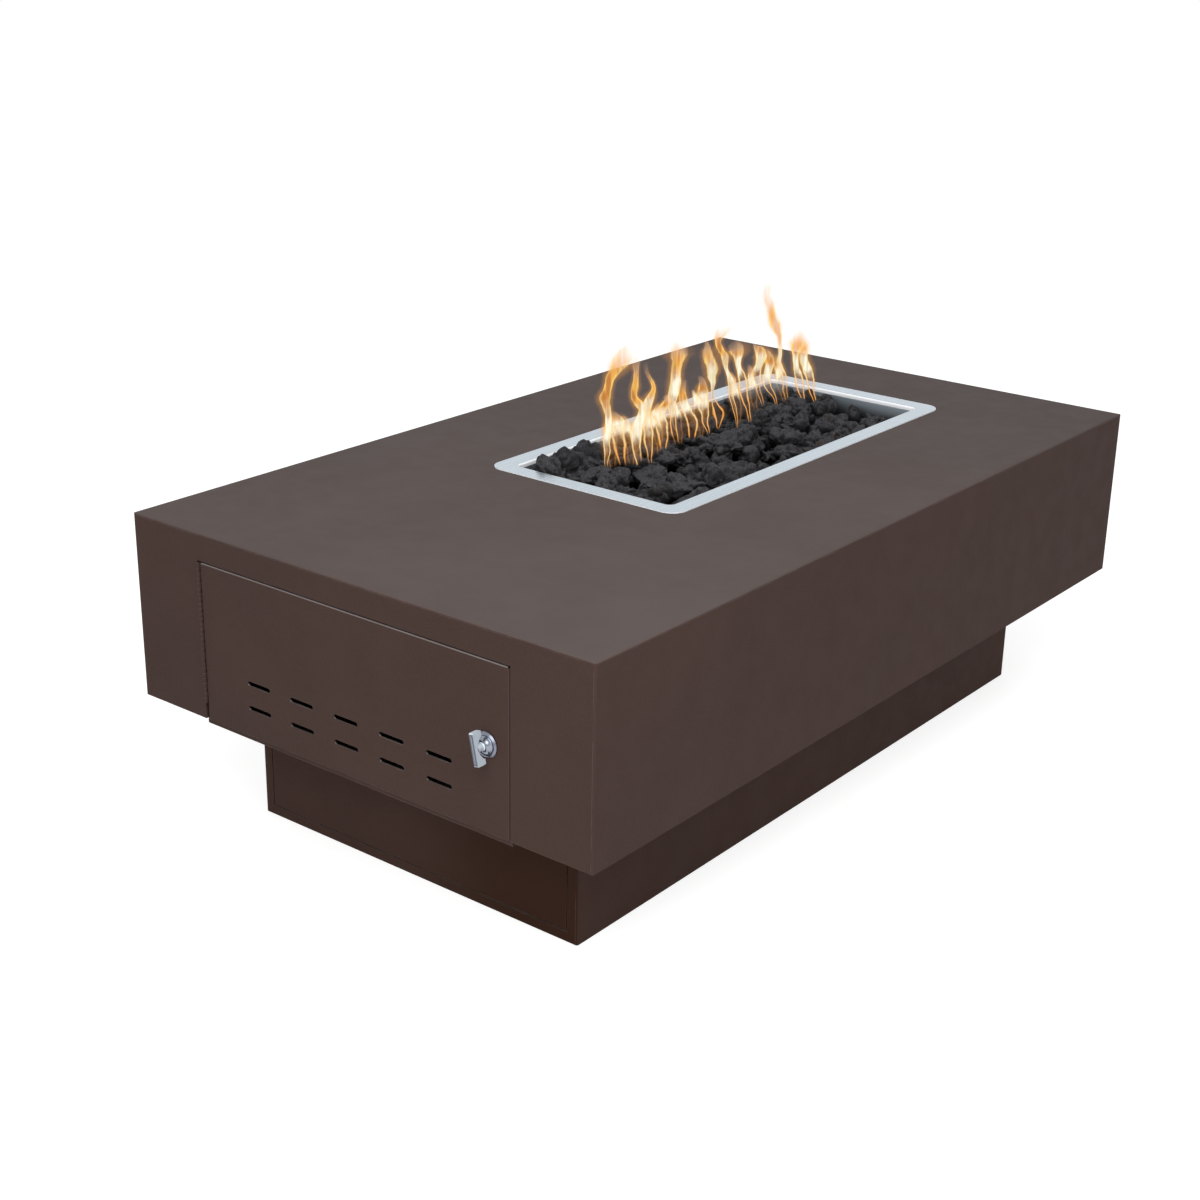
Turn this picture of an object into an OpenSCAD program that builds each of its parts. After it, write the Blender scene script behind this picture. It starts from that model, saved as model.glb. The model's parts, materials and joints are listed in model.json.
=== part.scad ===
// Gas fire pit table: a folded steel box on a set-back plinth, with a drop-in
// burner pan of lava rock and a vented, hinged door at one end.
// Frame: millimetres, +Z up, origin on the floor under the middle of the table.
// The door end faces -Y and the table's length lies along Y.

/* [Table] */
// Length of the table, from the door end to the far end
table_l = 1219; // [1180:1:1300]
// Width of the table
table_w = 711; // [690:1:780]
// Height of the table top above the floor
table_h = 406; // [400:1:440]
// Height of the plinth
plinth_h = 168; // [150:1:172]
// How far the table stands out past the plinth, all round
overhang = 99; // [80:1:110]
// Thickness of the folded sheet
sheet = 2; // [1.5:0.1:2.5]
// Outside radius of the folds at the table's edges
bend_r = 3; // [2.6:0.1:5]

/* [Door] */
// Width of the opening that the door fills
opening_w = 486; // [440:1:500]
// Height of the strip of skirt above the opening
header_h = 34.5; // [26:0.5:43]
// Gap beside and above the door
door_gap = 2; // [1.5:0.1:3]
// Gap under the door
door_lift = 0.5; // [0.4:0.1:1.5]
// Depth of the door's folded edges
door_return = 12; // [11:0.5:14]
// Outside radius of the folds on the door
door_bend_r = 2.2; // [2.1:0.1:3]
// Lower end of the notch for the latch, above the door's lower edge
notch_low = 22; // [15:1:40]
// Upper end of the notch for the latch, above the door's lower edge
notch_high = 132.5; // [125:0.5:140]

/* [Vents] */
// Length of a vent slot
slot_l = 38; // [25:1:50]
// Height of a vent slot
slot_h = 6; // [4:0.5:8]
// Distance between neighbouring slots in a row
slot_pitch = 71.5; // [60:0.5:75]
// Distance between the two rows
slot_row_pitch = 31.4; // [20:0.2:40]
// Slots in a row
slot_columns = 5; // [3:1:5]
// Middle of the vents above the door's lower edge
vent_z = 53; // [40:1:60]
// Middle of the vents to the side of the table's middle
vent_x = -2.5; // [-6:0.5:6]

/* [Hinge] */
// Length of one hinge knuckle
knuckle_l = 6.4; // [5:0.1:7]
// Least height of the door's edge that the hinge leaves free at its foot
hinge_free = 21; // [12:1:30]
// Diameter of the hinge pin
pin_d = 2.1; // [1.8:0.1:2.3]
// Thickness of a hinge leaf
leaf_t = 1.1; // [0.9:0.1:1.2]
// How far a leaf reaches in behind the face of the door
leaf_w = 10.5; // [10:0.5:11]
// How far the pin's centre stands in front of the face of the door
pin_out = 0.6; // [0.5:0.1:1]
// Rivets in each leaf
leaf_rivets = 5; // [3:1:6]

/* [Latch] */
// Distance from the latch's centre to the free edge of the door
latch_edge = 31; // [28:0.5:34]
// Height of the latch's centre above the door's lower edge
latch_up = 105; // [95:1:110]
// Diameter of the latch's bezel
bezel_d = 30; // [26:1:34]
// Length of the handle's bar
handle_l = 38; // [34:1:42]
// How far the bar's face stands in front of the door
handle_out = 21; // [19:0.5:24]
// Width of the bar
handle_t = 5.5; // [4.5:0.5:7]
// How far the bar leans towards the hinge, in degrees
handle_tilt = 12; // [0:1:20]
// Reach of the cam behind the edge of the opening
cam_hold = 9; // [6:0.5:12]

/* [Burner pan] */
// Width of the pan inside
pan_w = 249; // [230:1:260]
// Length of the pan inside
pan_l = 598; // [560:1:620]
// Depth of the pan below the table top
pan_depth = 76; // [70:1:80]
// Width of the flange round the pan
flange_w = 27; // [20:1:32]
// Thickness of the pan's sheet
pan_t = 1.5; // [1.2:0.1:2]
// Middle of the pan across the table
pan_x = -7.5; // [-20:0.5:20]
// Middle of the pan along the table
pan_y = 133.75; // [115:0.25:140]
// Radius of the pan's inside corners
pan_corner_r = 8; // [6:1:12]
// Outer corner radius of the flange
flange_corner_r = 22; // [12:1:26]

/* [Burner and gas line] */
// Length of the burner pipe
burner_l = 486; // [420:2:500]
// Outside diameter of the burner pipe and the supply pipe
pipe_d = 21.3; // [20:0.1:22]
// Outside diameter of the pipe between the burner and the hose
stub_d = 17.1; // [16:0.1:18]
// Gas ports along each side of the burner pipe
ports = 20; // [10:1:24]
// Diameter of a gas port
port_d = 3; // [2.5:0.1:4]
// Place of the gas valve across the table
valve_x = 60; // [40:1:80]
// Distance from the plinth's front flange to the supply pipe
supply_in = 24; // [19:0.5:40]
// Length of supply pipe that hangs below the table box
supply_l = 98; // [80:1:110]
// Length of the valve's lever from its stem
lever_l = 88; // [75:1:95]
// Ribs on the gas hose
hose_ribs = 96; // [60:1:110]
// Outside diameter of the hose over its ribs
hose_d = 18.4; // [17:0.2:20]

/* [Lava rock] */
// Rocks across the top layer
rock_columns = 7; // [5:1:8]
// Rocks along the top layer
rock_rows = 16; // [12:1:18]
// Lowest rocks below the table top
rock_low = 18; // [14:1:24]
// Height that the heap gains towards the far side and the far end
rock_heap = 24; // [10:1:30]
// Height of the mound in the pan's near left corner, above the rest of the heap
rock_mound = 22; // [0:1:26]

/* [Hidden] */
$fn = 48;

// Colours, as the finished table shows them
paint = [0.33, 0.28, 0.26];
paint_dark = [0.28, 0.23, 0.21];
steel = [0.74, 0.78, 0.8];
zinc = [0.62, 0.63, 0.64];
brass = [0.8, 0.65, 0.32];
black_iron = [0.2, 0.2, 0.21];
rock_grey = [0.2, 0.2, 0.2];

// Small fits
slip = 0.05;      // radial clearance of a shaft in its hole
near = 0.3;       // gap between pieces that only rest near each other
over = 1;         // how far a cutter runs past what it cuts

// The table box
front_y = -table_l / 2;
box_inner_w = table_w - 2 * sheet;
box_inner_l = table_l - 2 * sheet;
skirt_top = table_h - bend_r;
under_top = table_h - sheet;
tray_top = plinth_h + sheet;
opening_x = opening_w / 2;
opening_top = table_h - header_h;
opening_h = opening_top - plinth_h;
tray_edge = 20;
post_w = 22;
header_drop = 11;
header_up = 1.5;
stop_gap = 0.5;
door_back = front_y + door_return + stop_gap;
latch_post_in = 19;
sill_h = 3.2;
sill_w = 25;
sill_back = 5;
brace_w = 40;
brace_h = 25;
brace_flange = 14;
brace_gap = 22;

// The plinth
plinth_w = table_w - 2 * overhang;
plinth_l = table_l - 2 * overhang;
plinth_flange = 25;
ring_w = 35;
ring_t = 3;
anchor_d = 11;
panel_margin = 16.5;
panel_low = 14;
panel_gap = 1.5;
lip_w = 10;
stud_d = 5;
stud_l = 10;
stud_inset = 5;
panel_nut_af = 8;
panel_nut_h = 4;

// The hinge
pin_r = pin_d / 2;
knuckle_r = pin_r + slip + leaf_t;
pin_x = -opening_x + knuckle_r;
pin_y = front_y - pin_out;
door_left = pin_x + knuckle_r;
door_right = opening_x - door_gap;
door_top = opening_top - door_gap;
door_low = plinth_h + door_lift;
hinge_top = door_top - 0.5;
knuckles = 2 * floor((hinge_top - door_low - hinge_free) / (2 * knuckle_l));
hinge_low = hinge_top - knuckles * knuckle_l;
knuckle_gap = 0.3;
rivet_r = 1.6;
rivet_head_r = 3;
rivet_head_h = 1.2;
rivet_y = front_y + 2 * sheet + rivet_head_r + near;

// The latch, whose own frame has z out of the door and y up
latch_x = door_right - latch_edge;
latch_z = plinth_h + latch_up;
bezel_r = bezel_d / 2;
barrel_r = 9.5;
spindle_r = 5;
latch_nut_af = 24;
latch_nut_h = 5;
barrel_back = sheet + latch_nut_h + 1.5;
cam_t = 3;
cam_w = 14;
cam_back = barrel_back + near + cam_t;
cam_square = 7;
cam_reach = opening_x + cam_hold - latch_x;
cam_front = sheet + 1;
cam_pass = 0.5;
crank_start = 16;
crank_end = 23;
wing_back = 8;
hub_r = bezel_r - 4.4;
hub_z = 1.5;
neck_r = 4.2;
cam_screw_r = 2.5;
cam_screw_l = 8;

// The pan
pan_floor = table_h - pan_depth;
pan_bend_r = 3;
pan_clear = 2;
pan_lap = 1;
drain_d = 10;

// The burner and the gas line
pipe_r = pipe_d / 2;
pipe_bore = pipe_r - 2.75;
thread_r = pipe_r - 0.3;
thread_l = 18;
stub_r = stub_d / 2;
stub_bore = stub_r - 2.3;
foot_h = 9;
foot_t = 3;
foot_w = 44;
foot_y = burner_l * 0.36;
burner_z = pan_floor + pan_t + foot_h + pipe_r;
plug_t = 5;
port_angle = 35;
port_margin = 30;
locknut_h = 5;
stub_af = 24;
stub_free = 9;
socket_depth = 12;
elbow_bend = 22;
elbow_collar = 16;
elbow_wall = 4.5;
supply_af = 30;
supply_nut_h = 6;
supply_y = -plinth_l / 2 + sheet + plinth_flange + supply_in;
valve_z = tray_top + supply_nut_h + elbow_collar + elbow_bend;
valve_half = 26;
valve_end = 12;
valve_af = 28;
barrel_valve_r = 17;
nipple_show = 6;
valve_y = supply_y + elbow_bend + elbow_collar + nipple_show + valve_half;
ball_r = 11;
ball_bore = 7;
ball_flat = 8.2;
valve_stem_r = 4;
stem_top_r = 3;
bonnet_r = 9;
bonnet_h = 23;
lever_t = 2.5;
lever_w = 16;
lever_rise = 9;
lever_up = bonnet_h + 2;
lever_nut_af = 10;
lever_nut_h = 4;
grip_l = 58;
grip_wall = 2.2;
fitting_hex = 8;
fitting_nut = 18;
fitting_af = 25;

// The opening in the tray, from the plinth up into the box
tray_hole_w = plinth_w - 2 * (plinth_flange + 18);
tray_hole_in = 130;
tray_hole_front = supply_y + tray_hole_in;
tray_hole_rear = plinth_l / 2 - plinth_flange - 25;

// The hose route: a curve that leaves both fittings straight, level and along Y
elbow_top = pan_floor - locknut_h - stub_free;
elbow_z = elbow_top - elbow_collar - elbow_bend;
hose_rear = [pan_x, pan_y - elbow_bend - elbow_collar - fitting_hex - fitting_nut, elbow_z];
hose_front = [valve_x, valve_y + valve_half + fitting_hex + fitting_nut, valve_z];
hose_cuff = hose_d;
hose_bend = 150;
hose_crest_r = hose_d / 2;
hose_root_r = hose_crest_r - 1.8;
hose_bore_r = hose_root_r - 1.2;
hose_sides = 8;
hose_bore_rings = 32;

// The lava rock lies in a loose bottom layer beside the burner and a top layer over it
rock_gap = 0.3;
rock_split = burner_z + pipe_r + 0.8;
rock_channel = foot_w / 2 + 3;
low_rock_rows = 11;

// Plan outline of a plate with round corners
module rounded(w, l, r) {
    square([w - 2 * r, l], center = true);
    square([w, l - 2 * r], center = true);
    for (x = [-1, 1], y = [-1, 1])
        translate([x * (w / 2 - r), y * (l / 2 - r)]) circle(r);
}

// Side view of the table top, with its two upper edges rounded
module top_profile(w) {
    translate([-w / 2 + bend_r, skirt_top]) square([w - 2 * bend_r, bend_r]);
    for (x = [-1, 1])
        intersection() {
            translate([x * (w / 2 - bend_r), skirt_top]) circle(bend_r);
            translate([-w / 2, skirt_top]) square([w, bend_r]);
        }
}

// Hexagonal nut round the Z axis, lying on z = 0
module hex_nut(af, h, bore_r) {
    difference() {
        cylinder(h = h, r = af / sqrt(3), $fn = 6);
        translate([0, 0, -over]) cylinder(h = h + 2 * over, r = bore_r);
    }
}

// Tube along Z
module tube(h, r_out, r_in) {
    difference() {
        cylinder(h = h, r = r_out);
        translate([0, 0, -over]) cylinder(h = h + 2 * over, r = r_in);
    }
}

// Slot with round ends, in the plane
module slot(l, h) {
    square([l - h, h], center = true);
    for (x = [-1, 1]) translate([x * (l - h) / 2, 0]) circle(h / 2);
}

// Table box
module top_panel() {
    color(paint) difference() {
        intersection() {
            translate([0, 0, skirt_top]) linear_extrude(bend_r) rounded(table_w, table_l, bend_r);
            rotate([90, 0, 0]) linear_extrude(table_l, center = true) top_profile(table_w);
            rotate([90, 0, 90]) linear_extrude(table_w, center = true) top_profile(table_l);
        }
        translate([-box_inner_w / 2, -box_inner_l / 2, skirt_top - over])
            cube([box_inner_w, box_inner_l, bend_r - sheet + over]);
        translate([pan_x, pan_y, skirt_top - over]) linear_extrude(bend_r + 2 * over)
            rounded(pan_w + 2 * (pan_t + pan_clear), pan_l + 2 * (pan_t + pan_clear),
                pan_corner_r + pan_t + pan_clear);
    }
}

// The long side walls carry the rounded upright corners
module side_wall(w, l, low, high, side) {
    translate([0, 0, low]) linear_extrude(high - low) intersection() {
        difference() {
            rounded(w, l, bend_r);
            square([w - 2 * sheet, l - 2 * sheet], center = true);
        }
        translate([side * (w / 2 - bend_r / 2), 0]) square([bend_r, l + 2], center = true);
    }
}

module left_skirt() {
    color(paint) side_wall(table_w, table_l, plinth_h, skirt_top, -1);
}

module right_skirt() {
    color(paint) side_wall(table_w, table_l, plinth_h, skirt_top, 1);
}

module end_wall(w, low, high) {
    translate([-w / 2 + bend_r, 0, low]) cube([w - 2 * bend_r, sheet, high - low]);
}

module front_skirt() {
    color(paint) difference() {
        translate([0, front_y, 0]) end_wall(table_w, plinth_h, skirt_top);
        translate([-opening_x, front_y - over, plinth_h - over])
            cube([opening_w, sheet + 2 * over, opening_h + over]);
    }
}

module rear_skirt() {
    color(paint) translate([0, -front_y - sheet, 0]) end_wall(table_w, plinth_h, skirt_top);
}

// Bottom of the table box: a tray with upturned edges, open over the plinth
module floor_tray() {
    color(paint_dark) difference() {
        union() {
            translate([-box_inner_w / 2, -box_inner_l / 2, plinth_h])
                cube([box_inner_w, box_inner_l, sheet]);
            for (side = [0, 1]) mirror([side, 0, 0])
                translate([box_inner_w / 2 - sheet, -box_inner_l / 2, plinth_h])
                    cube([sheet, box_inner_l, tray_edge]);
            translate([-box_inner_w / 2, box_inner_l / 2 - sheet, plinth_h])
                cube([box_inner_w, sheet, tray_edge]);
        }
        translate([-opening_x, -box_inner_l / 2 - over, plinth_h - over])
            cube([opening_w, door_back - front_y - sheet + over, sheet + 2 * over]);
        translate([-tray_hole_w / 2, tray_hole_front, plinth_h - over])
            cube([tray_hole_w, tray_hole_rear - tray_hole_front, sheet + 2 * over]);
        translate([valve_x, supply_y, plinth_h - over])
            cylinder(h = sheet + 2 * over, r = pipe_r + near);
    }
}

// Flat bar under the tray that ties the foot of the door opening
module door_sill() {
    color(paint) translate([-opening_x, front_y + sill_back, plinth_h - sill_h])
        cube([opening_w, sill_w, sill_h]);
}

// Angle bars welded behind the edges of the opening
module hinge_post() {
    color(paint_dark) difference() {
        translate([0, front_y + sheet, tray_top]) {
            translate([-opening_x - sheet, 0, 0]) cube([sheet, post_w, under_top - tray_top]);
            translate([-opening_x - post_w, 0, 0]) cube([post_w, sheet, under_top - tray_top]);
        }
        each_rivet() translate([-opening_x - sheet - over, 0, 0]) rotate([0, 90, 0])
            cylinder(h = sheet + 2 * over, r = rivet_r + slip);
    }
}

module latch_post() {
    color(paint_dark) translate([opening_x + latch_post_in, front_y + sheet, tray_top]) {
        cube([sheet, post_w, under_top - tray_top]);
        cube([post_w, sheet, under_top - tray_top]);
    }
}

// Angle over the door that its top fold closes against
module header_stop() {
    stop_x0 = -opening_x;
    stop_x1 = opening_x + latch_post_in;
    color(paint_dark) {
        translate([stop_x0, front_y + sheet, opening_top + header_up])
            cube([stop_x1 - stop_x0, door_back - front_y, sheet]);
        translate([stop_x0, door_back, opening_top + header_up + sheet - header_drop - sheet])
            cube([stop_x1 - stop_x0, sheet, header_drop + sheet]);
    }
}

// Hat-section brace across the box under the top sheet
module brace(y) {
    translate([-box_inner_w / 2, y, under_top]) rotate([90, 0, 90])
        linear_extrude(box_inner_w) {
            for (side = [0, 1]) mirror([side, 0]) {
                translate([brace_w / 2 - sheet, -brace_h]) square([sheet, brace_h]);
                translate([brace_w / 2 - sheet, -sheet]) square([brace_flange, sheet]);
            }
            translate([-brace_w / 2, -brace_h]) square([brace_w, sheet]);
        }
}

module front_brace() {
    color(paint_dark) brace(pan_y - pan_l / 2 - brace_gap - brace_w / 2 - brace_flange);
}

module rear_brace() {
    color(paint_dark) brace(pan_y + pan_l / 2 + brace_gap + brace_w / 2 + brace_flange);
}

// Plinth
module plinth_side(side) {
    side_wall(plinth_w, plinth_l, 0, plinth_h, side);
    translate([side * (plinth_w / 2 - sheet - plinth_flange / 2), 0, plinth_h - sheet / 2])
        cube([plinth_flange, plinth_l - 2 * sheet, sheet], center = true);
}

module plinth_end_flange(y) {
    translate([-plinth_w / 2 + sheet + plinth_flange, y, plinth_h - sheet])
        cube([plinth_w - 2 * (sheet + plinth_flange), plinth_flange, sheet]);
}

module plinth_left() {
    color(paint) plinth_side(-1);
}

module plinth_right() {
    color(paint) plinth_side(1);
}

module plinth_rear() {
    color(paint) {
        translate([0, plinth_l / 2 - sheet, 0]) end_wall(plinth_w, 0, plinth_h);
        plinth_end_flange(plinth_l / 2 - sheet - plinth_flange);
    }
}

// Places of the studs that hold the plinth's end panel
module each_stud() {
    for (x = [-1, 0, 1], up = [0, 1])
        translate([x * (plinth_w / 2 - panel_margin - stud_inset), -plinth_l / 2,
            up ? plinth_h - panel_low - stud_inset : panel_low + stud_inset])
            rotate([-90, 0, 0]) children();
}

// Plinth end with a window, and a lip behind it that the panel seats on
module plinth_front() {
    window_w = plinth_w - 2 * panel_margin + 2 * panel_gap;
    window_z = panel_low - panel_gap;
    window_h = plinth_h - 2 * window_z;
    color(paint) difference() {
        union() {
            translate([0, -plinth_l / 2, 0]) end_wall(plinth_w, 0, plinth_h);
            translate([-window_w / 2 - lip_w / 2, -plinth_l / 2 + sheet, window_z - lip_w / 2])
                cube([window_w + lip_w, sheet, window_h + lip_w]);
            plinth_end_flange(-plinth_l / 2 + sheet);
        }
        translate([-window_w / 2, -plinth_l / 2 - over, window_z])
            cube([window_w, sheet + over, window_h]);
        translate([-window_w / 2 + lip_w, -plinth_l / 2 + sheet - over, window_z + lip_w])
            cube([window_w - 2 * lip_w, sheet + 2 * over, window_h - 2 * lip_w]);
        each_stud() cylinder(h = 3 * sheet, r = stud_d / 2 + slip);
    }
}

// Inset panel in the plinth's end, held from inside by weld studs
module plinth_panel() {
    color(paint) {
        translate([-plinth_w / 2 + panel_margin, -plinth_l / 2, panel_low])
            cube([plinth_w - 2 * panel_margin, sheet, plinth_h - 2 * panel_low]);
        each_stud() translate([0, 0, sheet]) cylinder(h = stud_l, r = stud_d / 2);
    }
}

module panel_nuts() {
    color(zinc) each_stud() translate([0, 0, 2 * sheet])
        hex_nut(panel_nut_af, panel_nut_h, stud_d / 2 + slip);
}

// Flat ring that the plinth stands on, with four holes for anchors
module base_ring() {
    ring_x = plinth_w - 2 * sheet;
    ring_y = plinth_l - 2 * sheet;
    color(paint_dark) difference() {
        translate([-ring_x / 2, -ring_y / 2, 0]) cube([ring_x, ring_y, ring_t]);
        translate([-ring_x / 2 + ring_w, -ring_y / 2 + ring_w, -over])
            cube([ring_x - 2 * ring_w, ring_y - 2 * ring_w, ring_t + 2 * over]);
        for (x = [-1, 1], y = [-1, 1])
            translate([x * (ring_x - ring_w) / 2, y * (ring_y - ring_w) / 2, -over])
                cylinder(h = ring_t + 2 * over, r = anchor_d / 2);
    }
}

// Door
module door_panel() {
    w = door_right - door_left;
    h = door_top - door_low;
    color(paint) difference() {
        translate([door_left, front_y, door_low]) {
            linear_extrude(h - door_bend_r) difference() {
                union() {
                    translate([door_bend_r, 0]) square([w - 2 * door_bend_r, door_return]);
                    translate([0, door_bend_r]) square([w, door_return - door_bend_r]);
                    for (x = [door_bend_r, w - door_bend_r])
                        translate([x, door_bend_r]) circle(door_bend_r);
                }
                translate([sheet, sheet]) square([w - 2 * sheet, door_return]);
            }
            translate([sheet, 0, h]) rotate([90, 0, 90])
                linear_extrude(w - 2 * sheet) door_top_fold();
        }
        for (column = [0:slot_columns - 1], row = [-1, 1])
            translate([vent_x + (column - (slot_columns - 1) / 2) * slot_pitch, front_y + 2 * sheet,
                plinth_h + vent_z + row * slot_row_pitch / 2])
                rotate([90, 0, 0]) linear_extrude(4 * sheet) slot(slot_l, slot_h);
        translate([door_right - sheet - over, front_y + cam_front - cam_pass, plinth_h + notch_low])
            cube([sheet + 2 * over, door_return, notch_high - notch_low]);
        translate([latch_x, front_y + sheet + over, latch_z]) rotate([90, 0, 0])
            cylinder(h = sheet + 2 * over, r = barrel_r + slip);
        each_rivet() translate([door_left - over, 0, 0]) rotate([0, 90, 0])
            cylinder(h = sheet + 2 * over, r = rivet_r + slip);
    }
}

// Section of the fold along the top of the door, with its corner at the origin
module door_top_fold() {
    translate([0, -door_bend_r]) difference() {
        union() {
            translate([door_bend_r, 0]) square([door_return - door_bend_r, door_bend_r]);
            intersection() {
                translate([door_bend_r, 0]) circle(door_bend_r);
                square([door_bend_r, door_bend_r]);
            }
        }
        translate([sheet, -over]) square([door_return, door_bend_r - sheet + over]);
    }
}

// Hinge
module each_rivet() {
    for (i = [0:leaf_rivets - 1])
        translate([0, rivet_y, hinge_low + (i + 0.5) * (hinge_top - hinge_low) / leaf_rivets])
            children();
}

// One leaf with every second knuckle; side is -1 for the frame leaf and 1 for the door leaf
module hinge_leaf(side) {
    leaf_x = side * (knuckle_r - leaf_t / 2);
    first = side < 0 ? 0 : 1;
    leaf_start = knuckle_r + near;
    leaf_end = pin_out + leaf_w;
    difference() {
        translate([pin_x, pin_y, 0]) {
            translate([leaf_x - leaf_t / 2, leaf_start, hinge_low])
                cube([leaf_t, leaf_end - leaf_start, hinge_top - hinge_low]);
            for (i = [first:2:knuckles - 1])
                translate([0, 0, hinge_low + i * knuckle_l + knuckle_gap / 2]) difference() {
                    union() {
                        cylinder(h = knuckle_l - knuckle_gap, r = knuckle_r);
                        translate([leaf_x - leaf_t / 2, 0, 0])
                            cube([leaf_t, leaf_start, knuckle_l - knuckle_gap]);
                    }
                    translate([0, 0, -over]) cylinder(h = knuckle_l + 2 * over, r = pin_r + slip);
                }
        }
        each_rivet() translate([pin_x + leaf_x - leaf_t, 0, 0]) rotate([0, 90, 0])
            cylinder(h = 2 * leaf_t, r = rivet_r + slip);
    }
}

module hinge_frame_leaf() {
    color(paint) hinge_leaf(-1);
}

module hinge_door_leaf() {
    color(paint) hinge_leaf(1);
}

module hinge_pin() {
    color(zinc) translate([pin_x, pin_y, hinge_low])
        cylinder(h = hinge_top - hinge_low, r = pin_r);
}

// A rivet along X with its flush end at x = 0 and its head beyond the sheet
module rivet() {
    rotate([0, 90, 0]) {
        cylinder(h = leaf_t + sheet + rivet_head_h, r = rivet_r);
        translate([0, 0, leaf_t + sheet]) cylinder(h = rivet_head_h, r = rivet_head_r);
    }
}

module frame_rivets() {
    color(zinc) each_rivet() translate([-opening_x + leaf_t, 0, 0]) mirror([1, 0, 0]) rivet();
}

module door_rivets() {
    color(zinc) each_rivet() translate([door_left - leaf_t, 0, 0]) rivet();
}

// Latch
module on_latch() {
    translate([latch_x, front_y, latch_z]) rotate([90, 0, 0]) children();
}

// Bezel with a dished face, and the barrel that goes through the door
module latch_housing() {
    color(steel) on_latch() rotate_extrude()
        polygon([[spindle_r + slip, 1.2], [bezel_r - 4, 1.2], [bezel_r - 3, 3.4],
            [bezel_r - 1.8, 3.4], [bezel_r, 1.4], [bezel_r, 0], [barrel_r, 0],
            [barrel_r, -barrel_back], [spindle_r + slip, -barrel_back]]);
}

module latch_nut() {
    color(zinc) on_latch() translate([0, 0, -sheet - latch_nut_h])
        hex_nut(latch_nut_af, latch_nut_h, barrel_r + slip);
}

// Side view of the wing: a bar whose two ends curl back round the hub
module wing_profile() {
    wing_r = 2;
    difference() {
        translate([0, (wing_back + handle_out) / 2]) rounded(handle_l, handle_out - wing_back, wing_r);
        translate([0, 1]) circle(bezel_r);
    }
}

// Turning part of the latch: wing, bell-shaped hub, and spindle with a square end for the cam
module latch_handle() {
    color(steel) on_latch() rotate([0, 0, handle_tilt]) difference() {
        union() {
            rotate([90, 0, 90]) linear_extrude(handle_t, center = true) wing_profile();
            rotate_extrude() difference() {
                polygon([[0, -barrel_back - near], [spindle_r, -barrel_back - near],
                    [spindle_r, hub_z], [hub_r, hub_z], [hub_r, hub_z + 1.2], [neck_r, 9],
                    [neck_r, handle_out - 4], [0, handle_out - 4]]);
                translate([hub_r + 1.6, 10.2]) circle(7.4);
            }
            translate([-cam_square / 2, -cam_square / 2, near - cam_back])
                cube([cam_square, cam_square, cam_t + near]);
        }
        translate([0, 0, handle_out]) cube([1.6, handle_l - 8, 1.6], center = true);
        translate([0, 0, -cam_back]) cylinder(h = cam_screw_l + near, r = cam_screw_r + slip);
    }
}

// Cranked cam on the end of the spindle; it hangs beside the handle's lower end
module latch_cam() {
    color(zinc) on_latch() rotate([0, 0, handle_tilt]) difference() {
        intersection() {
            rotate([90, 0, 90]) linear_extrude(cam_w, center = true)
                polygon([[10, -cam_back], [10, -cam_back + cam_t], [-crank_start, -cam_back + cam_t],
                    [-crank_end, -cam_front], [-cam_reach, -cam_front],
                    [-cam_reach, -cam_front - cam_t], [-crank_end - 1, -cam_front - cam_t],
                    [-crank_start - 1, -cam_back]]);
            translate([0, 0, -cam_back - over]) linear_extrude(cam_back) union() {
                circle(cam_w / 2);
                translate([-cam_w / 2, -cam_reach + cam_w / 2]) square([cam_w, cam_reach - cam_w / 2]);
                translate([0, -cam_reach + cam_w / 2]) circle(cam_w / 2);
            }
        }
        translate([0, 0, -cam_back + cam_t / 2])
            cube([cam_square + 2 * slip, cam_square + 2 * slip, cam_t + 2 * over], center = true);
    }
}

module cam_screw() {
    color(zinc) on_latch() rotate([0, 0, handle_tilt]) translate([0, 0, -cam_back]) {
        translate([0, 0, -3.5]) cylinder(h = 3.5, r = 6.2, $fn = 6);
        cylinder(h = cam_screw_l, r = cam_screw_r);
    }
}

// Burner pan
module burner_pan() {
    corner_x = pan_w / 2 - pan_corner_r;
    corner_y = pan_l / 2 - pan_corner_r;
    lap_in = pan_bend_r + pan_lap / 2;
    color(steel) difference() {
        translate([pan_x, pan_y, 0]) {
            // four straight walls, each a run of the wall's section
            for (side = [-1, 1]) {
                translate([side * corner_x, 0, 0]) rotate([90, 0, 0])
                    linear_extrude(2 * corner_y, center = true) scale([side, 1]) pan_section();
                translate([0, side * corner_y, 0]) rotate([90, 0, 90])
                    linear_extrude(2 * corner_x, center = true) scale([side, 1]) pan_section();
            }
            for (x = [0, 1], y = [0, 1]) mirror([x, 0, 0]) mirror([0, y, 0])
                translate([corner_x, corner_y, 0]) rotate_extrude(angle = 90) pan_section();
            translate([0, 0, pan_floor])
                linear_extrude(pan_t) rounded(pan_w + pan_t, pan_l + pan_t, pan_corner_r + pan_t / 2);
            translate([0, 0, table_h]) linear_extrude(pan_t) difference() {
                rounded(pan_w + 2 * flange_w, pan_l + 2 * flange_w, flange_corner_r);
                rounded(pan_w + 2 * lap_in, pan_l + 2 * lap_in, pan_corner_r + lap_in);
            }
        }
        translate([pan_x, pan_y, pan_floor - over]) {
            cylinder(h = pan_t + 2 * over, r = stub_r + near);
            for (x = [-1, 1], y = [-1, 1])
                translate([x * pan_w * 0.36, y * pan_l * 0.42, 0])
                    cylinder(h = pan_t + 2 * over, r = drain_d / 2);
        }
    }
}

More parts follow.
